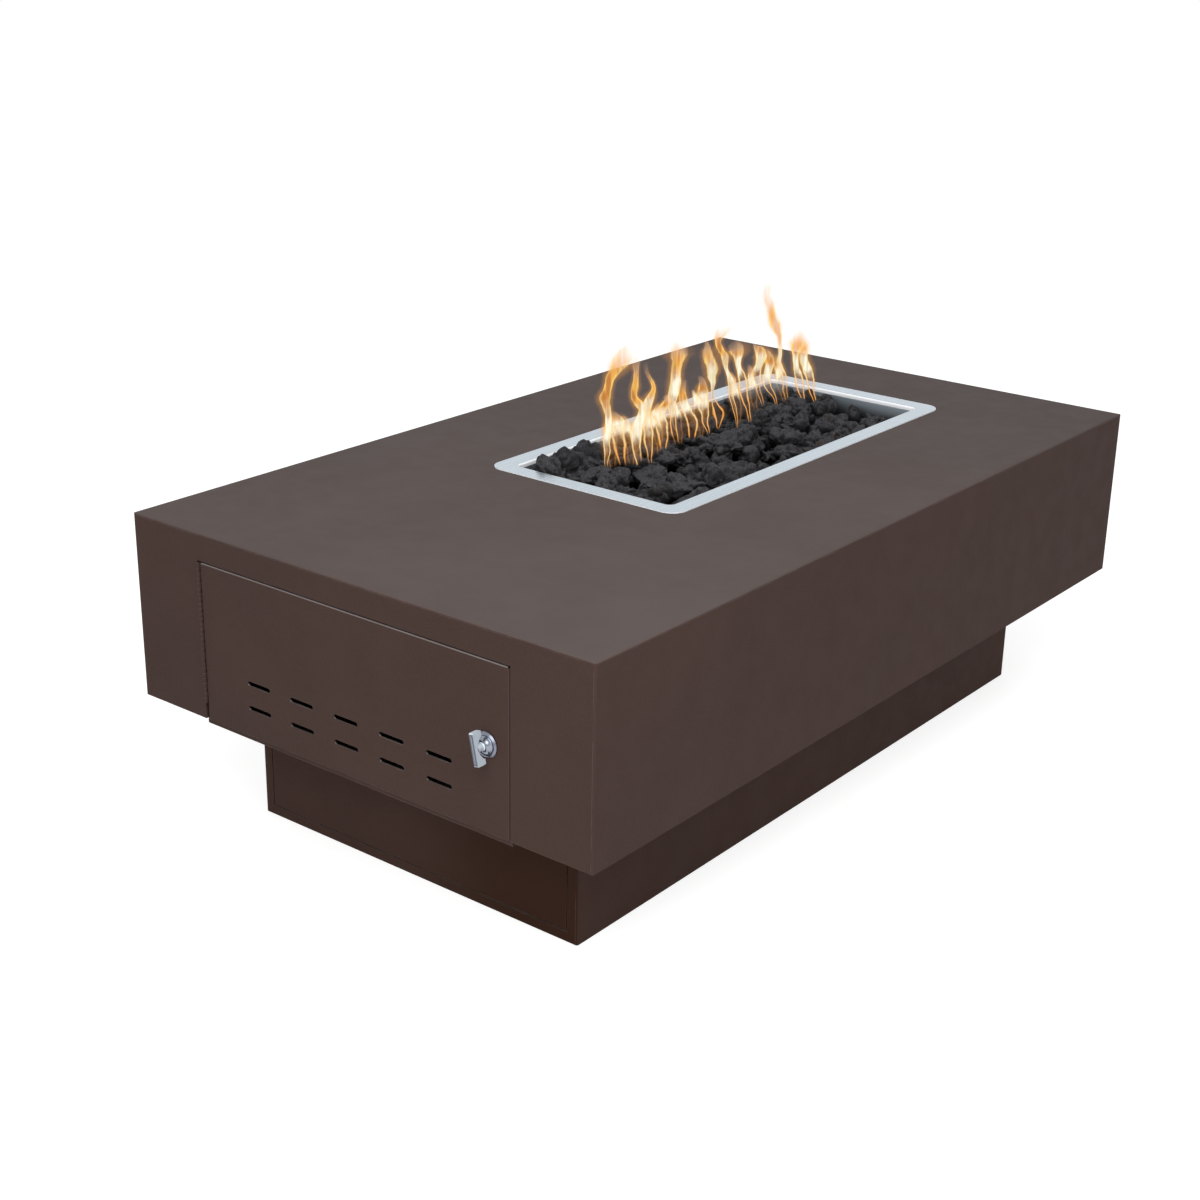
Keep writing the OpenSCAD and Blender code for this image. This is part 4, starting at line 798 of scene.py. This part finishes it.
flameMake = {
    "footHeight": 0.404,
    "facing": cameraPlace["at"][:2],   # where a tongue's first blade faces, x and y
    "turns": (0, 90),                  # every tongue is two blades that cross
    "curl": (0.0034, 38, 0.012),       # metres aside; waves per metre; height of the full curl
    "sway": 0.004,                     # metres across the first blade
    "crossingSway": 0.006,             # metres along the second
    "narrowest": 0.0007,
    "glow": (0.0045, 0.75),            # width beyond its edge: metres, and share of its width
    "faintFoot": 0.22,
    "spread": 0.55,                    # how much wider the upper part is than the path says
    "rows": 60,
    "columns": 12,
    # tall tongues, read in the photograph's 1200x1200 frame: number of the brightest point,
    # from 0, and points on the middle line from the foot up, each as x, y and half width in pixels
    "tall": {
        "tongueA": (4.6, ((607.5, 471, 1), (607.2, 459, 2.4), (607, 448, 3.4), (607.6, 438, 3.8),
            (608.5, 428, 4.2), (608.2, 417, 3.6), (606.5, 406, 4.2), (604.8, 398, 5),
            (607.6, 389, 3.6), (610, 379, 3.9), (615.5, 369, 5.4), (623, 359, 7), (630.5, 350, 5.5),
            (632, 342, 2.4))),
        "tongueB": (4.6, ((623.2, 470, 2.4), (622, 457, 4.4), (619.6, 447, 6.6), (617.8, 438, 6.8),
            (616, 430, 7.4), (615.5, 423, 7.8), (614.5, 417, 4.5), (612, 411, 1.2))),
        "tongueC": (4.6, ((639.5, 465, 2.8), (638, 453, 4.2), (636.6, 442, 5.4), (636.2, 433, 6.4),
            (638.5, 425, 6.2), (641, 416, 4.6), (640.5, 409, 4.2), (637.5, 403, 3.6),
            (634.6, 396, 3), (635, 388, 3.3), (636.4, 379, 2.4), (636.4, 371, 2.1), (635, 364, 2.8),
            (637.5, 358, 2))),
        "tongueD": (5.2, ((650.5, 463, 1.4), (649.2, 452, 3.2), (648.5, 442, 5), (648.6, 433, 5.4),
            (647, 424, 5.2), (646.2, 415, 4.6), (647.2, 406, 4.8), (650, 398, 4.2),
            (652.8, 391, 2.4), (652.6, 384, 1.7), (650, 377, 1.5), (647, 369, 1.6),
            (645.5, 360, 1.4))),
        "tongueE": (3.6, ((663.5, 449, 3.2), (663, 438, 5), (661.6, 427, 6.2), (659.4, 418, 6.6),
            (660.5, 412, 5.8), (665, 406, 3.4), (668, 400, 3), (664, 396, 1.6))),
        "tongueF": (6.4, ((677, 448, 1.2), (675, 436, 2.8), (673.5, 425, 3.2), (672, 415, 3.4),
            (671, 406, 4), (672.4, 398, 5), (675, 389, 5.6), (676, 380, 5.2), (676.2, 371, 4.6),
            (677.2, 362, 5.6), (677, 354, 8), (678, 348, 7.4), (677, 342, 2.6))),
        "tongueG": (3.8, ((692, 439, 3.4), (691.4, 429, 4.6), (690.8, 420, 5.4), (688, 411, 5.2),
            (684.5, 403, 4.6), (682, 395, 4), (681, 387, 3.4), (684, 380, 1.8))),
        "tongueH": (3.8, ((709, 435, 0.9), (706.8, 424, 3), (705.4, 414, 4.6), (702.8, 406, 6),
            (701.8, 397, 6.2), (702.4, 389, 4.6), (702.8, 382, 2.8), (699.6, 376, 1.2))),
        "tongueI": (7.2, ((718, 429, 0.8), (719.2, 421, 3.4), (718.6, 413, 5.6), (716, 405, 3.4),
            (714.4, 397, 1.6), (713.4, 390, 1.5), (713.4, 383, 2.6), (711.6, 376, 4.8),
            (711.4, 368, 5.4), (709.6, 360, 5.2), (707.6, 352, 4.4), (706.6, 346, 2.4),
            (705, 340, 0.8))),
        "tongueJ": (7, ((737, 428, 0.8), (735, 417, 1.5), (732.6, 408, 1.9), (731, 399, 2.4),
            (730.6, 391, 2.2), (730.6, 384, 3.4), (728.6, 377, 2.8), (725.6, 370, 2.1),
            (724.6, 364, 2.6), (724, 357, 3.8), (720.6, 350, 3.2), (718.6, 343, 2.6),
            (719.6, 336, 4.4), (723.6, 329, 5.2), (728, 322, 2.4))),
        "tongueK": (6, ((750, 422, 1.6), (748.6, 410, 2.2), (745, 399, 4), (742.6, 390, 5),
            (742, 381, 4.4), (741, 373, 3.2), (739, 366, 2.8), (737.6, 359, 4), (737.4, 353, 6.8),
            (736, 348, 7.2), (731.5, 344, 3))),
        "tongueL": (5.6, ((764, 407, 0.8), (760.6, 397, 1.7), (757.6, 388, 2.2), (756, 380, 4.4),
            (757.4, 372, 4.6), (760, 365, 3.8), (761.4, 358, 5.2), (759.6, 352, 4.8),
            (755, 347, 1.8), (753.4, 342, 0.8))),
        "tongueM": (4, ((777, 405, 0.8), (774, 394, 2), (770, 386, 3.9), (767.4, 378, 4.2),
            (767.4, 370, 4.2), (768.6, 362, 4.6), (767.4, 355, 4.6), (763.6, 350, 2.4))),
        "tongueN": (5.5, ((787, 400, 1.3), (785, 391, 2.5), (783.6, 383, 2.6), (781.8, 375, 4.4),
            (779.6, 367, 3.6), (778.6, 360, 2.5), (779.6, 352, 2.1), (780, 344, 1.9),
            (779, 335, 2.4), (775.8, 327, 4.4), (773, 318, 3.8), (770, 309, 3.3), (768.4, 300, 3.4),
            (767.6, 290, 3.2), (767.6, 280, 1.8))),
        "tongueO": (4.6, ((803.6, 403, 0.9), (802.4, 393, 2.8), (800, 384, 4.6), (798, 375, 4.2),
            (797, 366, 3.2), (796.8, 357, 3.2), (797.4, 350, 5.2), (798.6, 343, 7), (799, 336, 5),
            (797, 330, 2))),
        "tongueP": (4.4, ((815, 403, 1), (813.6, 393, 2.7), (812, 384, 4), (809.4, 375, 4.8),
            (806, 366, 4.6), (804, 358, 4.4), (803.4, 350, 5), (801.4, 343, 4.8),
            (799.4, 336, 2.6))),
    },
    # low tongues that join the others, with faint feet: foot along x and y; share of the path where
    # the tongue is brightest; side, height and half width of points on it in millimetres
    "joining": (
        ((-0.031, -0.09), 0.80, ((0, 0, 2.2), (-2, 14, 5.5), (-4, 28, 8.0), (-5, 40, 9.5),
          (-6, 52, 9.0), (-8, 62, 6.0), (-10, 70, 2.5))),
        ((-0.021, -0.064), 0.78, ((0, 0, 1.6), (-2, 12, 4.6), (-3, 26, 7.4), (-5, 38, 9.8),
          (-8, 49, 9.0), (-10, 60, 6.2), (-13, 69, 2.0))),
        ((-0.026, -0.006), 0.80, ((0, 0, 2.0), (-1, 13, 5.0), (-3, 25, 8.5), (-4, 36, 9.6),
          (-7, 46, 8.5), (-10, 57, 4.6), (-13, 66, 1.6))),
        ((-0.034, 0.012), 0.72, ((0, 0, 1.6), (-1, 12, 4.2), (-3, 25, 7.2), (-5, 37, 8.6),
          (-6, 48, 7.4), (-4, 60, 5.0), (-2, 70, 1.8))),
        ((-0.035, 0.062), 0.74, ((0, 0, 1.5), (-1, 12, 4.0), (-3, 24, 6.4), (-6, 36, 8.2),
          (-9, 47, 7.2), (-11, 58, 4.4), (-15, 67, 1.6))),
        ((-0.036, 0.112), 0.76, ((0, 0, 1.4), (-1, 12, 3.8), (-2, 24, 6.2), (-4, 36, 7.8),
          (-7, 47, 6.6), (-11, 57, 4.0), (-14, 66, 1.4))),
        ((-0.033, 0.199), 0.70, ((0, 0, 1.3), (-2, 13, 3.4), (-4, 26, 5.6), (-7, 39, 6.6),
          (-9, 51, 5.6), (-10, 63, 4.2), (-14, 74, 1.6))),
        ((-0.042, 0.258), 0.66, ((0, 0, 1.2), (-3, 13, 3.2), (-5, 26, 5.2), (-8, 38, 6.2),
          (-11, 50, 5.4), (-12, 62, 4.0), (-16, 73, 1.8))),
        ((-0.05, 0.339), 0.66, ((0, 0, 1.4), (-2, 13, 3.6), (-5, 25, 5.6), (-8, 37, 6.6),
          (-11, 49, 5.6), (-13, 60, 4.2), (-16, 72, 1.8))),
    ),
}


# the foot in metres, and the path in millimetres, of a tall tongue that stands upright on its foot
# and square to the camera's azimuth
def readTongue(points):
    at = np.array(cameraPlace["at"])
    right, up, back = cameraAxes()
    focal, middle = cameraPlace["photoFocal"], cameraPlace["photoMiddle"]
    runs = [(right * (x - middle) - up * (y - middle)) / focal - back for x, y, half in points]
    foot = at + runs[0] * (flameMake["footHeight"] - at[2]) / runs[0][2]
    azimuth = math.radians(cameraPlace["azimuth"])
    aside = np.array((math.cos(azimuth), math.sin(azimuth), 0))
    facing = np.array((math.sin(azimuth), -math.cos(azimuth), 0))
    path = []
    for run, (x, y, half) in zip(runs, points):
        depth = (foot - at) @ facing / (run @ facing)
        place = 1000 * (at + run * depth - foot)
        wide = 1000 * half * depth / focal
        path.append((round(float(place @ aside)), round(float(place[2])), round(float(wide), 1)))
    return (round(float(foot[0]), 3), round(float(foot[1]), 3)), path


# a smooth curve through the points
def smoothPath(points, share):
    place = share * (len(points) - 1)
    i = min(int(place), len(points) - 2)
    t = place - i
    p0, p1, p2, p3 = (points[min(max(i + k, 0), len(points) - 1)] for k in (-1, 0, 1, 2))
    return [0.5 * (2 * b + (c - a) * t + (2 * a - 5 * b + 4 * c - d) * t * t
                   + (3 * b - a - 3 * c + d) * t ** 3) for a, b, c, d in zip(p0, p1, p2, p3)]


def makeFlames():
    shape = bmesh.new()
    across = shape.loops.layers.uv.new("across")
    burning = shape.loops.layers.uv.new("burning")
    margin, marginShare = flameMake["glow"]
    curlDepth, waves, curlFrom = flameMake["curl"]
    tongues = []
    for brightest, points in flameMake["tall"].values():
        foot, path = readTongue(points)
        tongues.append((foot, round(brightest / (len(points) - 1), 2), path, 1.0))
    tongues += [(*tongue, flameMake["faintFoot"]) for tongue in flameMake["joining"]]
    for number, (foot, hottest, path, legShare) in enumerate(tongues):
        for turn in flameMake["turns"]:
            away = Vector(foot).to_3d() - Vector(flameMake["facing"]).to_3d()
            deep = Matrix.Rotation(math.radians(turn), 3, "Z") @ away.normalized()
            side = deep.cross(Vector((0, 0, 1)))
            made = bmesh.ops.create_grid(shape, x_segments=flameMake["columns"],
                                         y_segments=flameMake["rows"], size=0.5)["verts"]
            share = {vert: (2 * vert.co.x, vert.co.y + 0.5) for vert in made}
            widths = {}
            for vert in made:
                u, v = share[vert]
                aside, height, half = (value / 1000 for value in smoothPath(path, v))
                ahead = smoothPath(path, min(v + 0.01, 1))
                behind = smoothPath(path, max(v - 0.01, 0))
                run = Vector((ahead[0] - behind[0], ahead[1] - behind[1])).normalized()
                half = max(half, flameMake["narrowest"])
                half *= 1 + flameMake["spread"] * max(0, v - hottest)
                wide = half * (1 + marginShare) + margin
                widths[vert] = wide / half
                # each tongue reads a strip of noise of its own
                curl = noise.noise(Vector((number * 8.3, (foot[1] + height) * waves, 5.0)))
                aside += curlDepth * curl * min(1, height / curlFrom)
                sway = 0
                if turn:
                    drift = noise.noise(Vector((number * 5.1, v * 4, 2.0)))
                    aside += flameMake["crossingSway"] * drift
                else:
                    sway = flameMake["sway"] * noise.noise(Vector((number * 3.7, v * 3, u * 0.8)))
                rise = flameMake["footHeight"] + height - u * wide * run.x
                vert.co = (Vector((foot[0], foot[1], rise)) + side * (aside + u * wide * run.y)
                           + deep * sway)
            for face in {f for vert in made for f in vert.link_faces}:
                face.smooth = True
                for loop in face.loops:
                    u, v = share[loop.vert]
                    loop[across].uv = (u * widths[loop.vert], legShare)
                    loop[burning].uv = (v, v - hottest + 1)
    flames = newPiece("flames", shape, flameLight("flame light"), None)
    flames.visible_shadow = False
    flames.visible_diffuse = False
    flames.visible_glossy = False
    print("flames:", len(tongues), "tongues")


flameLook = {
    "white": (1.0, 0.960, 0.77, 1),
    "yellow": (1.0, 0.68, 0.19, 1),
    "legEdge": (1.0, 0.76, 0.38, 1),
    "legFoot": (0.98, 0.44, 0.11, 1),
    "legInside": (0.58, 0.24, 0.055, 1),
    "orange": (0.76, 0.28, 0.045, 1),
    "bright": (1.0, 0.58, 0.15, 1),
    "tip": (1.0, 0.60, 0.33, 1),
    "glow": (0.85, 0.36, 0.08, 1),
    "strength": 1.04,
    "halo": 0.30,
}


# legs with clear middles, then a bright body, then a tongue that thins to its tip
def flameLight(name):
    material, tree = bareMaterial(name)
    along = uvPart(tree, "burning", 0)
    ripple = ripples(tree, 0.011, 2, 0.5, (1, 1, 2.2))
    flicker = ripples(tree, 0.0045, 2, 0.6, (1, 1, 3.0))
    flow = ripples(tree, 0.024, 2, 0.5, (1, 1, 1.6))
    fromMiddle = calc(tree, "ABSOLUTE", uvPart(tree, "across", 0))
    pastHottest = calc(tree, "SUBTRACT", uvPart(tree, "burning", 1), 1.0)
    edge = calc(tree, "MULTIPLY_ADD", ripple, 0.75, fromMiddle)
    edge = calc(tree, "MULTIPLY_ADD", flicker, 0.35, edge)
    past = calc(tree, "MULTIPLY_ADD", flow, 0.30, pastHottest)
    past = calc(tree, "MULTIPLY_ADD", flicker, 0.16, past)
    leg = ease(tree, past, -0.10, -0.26)
    tongue = ease(tree, past, 0.00, 0.20)
    body = calc(tree, "SUBTRACT", calc(tree, "SUBTRACT", 1.0, leg), tongue, clamp=True)
    foot = ease(tree, calc(tree, "MULTIPLY_ADD", flow, 0.35, along), 0.0, 0.10)
    tip = ease(tree, calc(tree, "MULTIPLY_ADD", flow, 0.3, along), 1.04, 0.74)
    strand = ease(tree, grain(tree, 0.0042, 2, 0.5, (1, 1, 9)), 0.40, 0.62)
    inside = ease(tree, edge, 1.14, 0.80)

    legRim = calc(tree, "MULTIPLY", ease(tree, edge, 0.46, 0.74), inside)
    legFill = calc(tree, "MULTIPLY", ease(tree, past, -0.50, -0.12, 0, 0.38), inside)
    legAlpha = calc(tree, "MAXIMUM", calc(tree, "MULTIPLY", legRim, 0.95), legFill)
    bodyAlpha = calc(tree, "MULTIPLY", inside, calc(tree, "MULTIPLY_ADD", strand, 0.18, 0.80))
    tongueAlpha = calc(tree, "MULTIPLY", inside, calc(tree, "MULTIPLY_ADD", strand, 0.28, 0.68))
    alpha = calc(tree, "MULTIPLY", legAlpha, uvPart(tree, "across", 1))
    alpha = calc(tree, "MULTIPLY", leg, alpha)
    alpha = calc(tree, "MULTIPLY_ADD", body, bodyAlpha, alpha)
    alpha = calc(tree, "MULTIPLY_ADD", tongue, tongueAlpha, alpha)
    halo = calc(tree, "MULTIPLY", ease(tree, edge, 2.1, 0.80), calc(
        tree, "MULTIPLY_ADD", leg, -0.75 * flameLook["halo"], flameLook["halo"]))
    alpha = calc(tree, "MAXIMUM", alpha, halo)
    alpha = calc(tree, "MULTIPLY", calc(tree, "MULTIPLY", alpha, foot), tip, clamp=True)

    core = ease(tree, edge, 0.98, 0.56)
    legColour = mixColour(tree, legRim, flameLook["legInside"], mixColour(
        tree, ease(tree, past, -0.50, -0.16), flameLook["legFoot"], flameLook["legEdge"]))
    hottestShare = calc(tree, "MULTIPLY", core, calc(
        tree, "MULTIPLY_ADD", strand, 0.45, 0.62), clamp=True)
    bodyColour = mixColour(tree, hottestShare, flameLook["yellow"], flameLook["white"])
    streak = calc(tree, "MULTIPLY", strand, ease(tree, edge, 0.1, 0.8, 0.45, 0.9))
    tongueColour = mixColour(tree, streak, flameLook["orange"], flameLook["bright"])
    tongueColour = mixColour(tree, calc(tree, "MULTIPLY", legRim, 0.75), tongueColour,
                             flameLook["yellow"])
    tongueColour = mixColour(tree, ease(tree, along, 0.72, 0.95), tongueColour, flameLook["tip"])
    colour = mixColour(tree, tongue, mixColour(tree, leg, bodyColour, legColour), tongueColour)
    colour = mixColour(tree, ease(tree, edge, 0.84, 1.12), colour, flameLook["glow"])
    light = addNode(tree, "ShaderNodeEmission", None, {
        "Color": colour, "Strength": flameLook["strength"]})
    clear = addNode(tree, "ShaderNodeBsdfTransparent")
    mixInto(tree, "ShaderNodeOutputMaterial", alpha, clear.outputs[0], light.outputs[0])
    return material


# shadows show in the part of the floor that is lit, and a glow lifts the rest of it to white
def makeFloor():
    shape = bmesh.new()
    bmesh.ops.create_grid(shape, x_segments=1, y_segments=1, size=studio["floorSize"])
    for vert in shape.verts:
        vert.co.z = -studio["floorDrop"]
    material, tree = bareMaterial("pale floor")
    pale, tone = studio["floorPale"], studio["floorTone"]
    lit = addNode(tree, "ShaderNodeBsdfDiffuse", None, {"Color": (pale, pale, pale, 1)})
    shown = addNode(tree, "ShaderNodeBsdfDiffuse", None, {"Color": (tone, tone, tone, 1)})
    # no glow inside the plinth
    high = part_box("base_ring")[1]
    across, along = (
        calc(tree, "DIVIDE", calc(tree, "ABSOLUTE", texturePart(tree, "Object", axis)), high[axis])
        for axis in (0, 1))
    outside = calc(tree, "GREATER_THAN", calc(tree, "MAXIMUM", across, along), 1.0)
    lift = studio["floorWhite"] - studio["floorLit"] * tone
    glow = addNode(tree, "ShaderNodeEmission", None, {
        "Color": (1, 1, 1, 1), "Strength": calc(tree, "MULTIPLY", outside, lift)})
    both = addNode(tree, "ShaderNodeAddShader")
    feed(tree, both.inputs[0], shown.outputs[0])
    feed(tree, both.inputs[1], glow.outputs[0])
    mixInto(tree, "ShaderNodeOutputMaterial", seenByCamera(tree), lit.outputs[0], both.outputs[0])
    newPiece("floor", shape, material, None)


# floor, sky and lamps
def makeStudio():
    makeFloor()
    world = bpy.data.worlds.new("studio")
    bpy.context.scene.world = world
    world.use_nodes = True
    tree = world.node_tree
    tree.nodes.clear()
    sky, white = (
        addNode(tree, "ShaderNodeBackground", None, {"Color": (1, 1, 1, 1), "Strength": strength})
        for strength in (studio["skyLight"], 1.0))
    mixInto(tree, "ShaderNodeOutputWorld", seenByCamera(tree), sky.outputs[0], white.outputs[0])

    for name, (place, size, watts, inGloss) in studio["lamps"].items():
        lamp = bpy.data.objects.new(name, bpy.data.lights.new(name, "AREA"))
        lamp.data.shape = "RECTANGLE"
        lamp.data.size, lamp.data.size_y = size
        lamp.data.energy = watts
        lamp.location = place
        lamp.visible_camera = False
        lamp.visible_glossy = inGloss
        look = Vector(studio["aim"]) - lamp.location
        lamp.rotation_euler = look.to_track_quat("-Z", "Y").to_euler()
        bpy.context.scene.collection.objects.link(lamp)
    bpy.context.scene.view_settings.view_transform = "Standard"


placeCamera()
finishes = makeFinishes()
dressNodes(finishes)
print("finishes on", len(nodes), "CAD pieces")
makeStones(finishes)
makeSill(finishes)
makeHose(finishes)
makeFlames()
makeStudio()
print("scene ready")
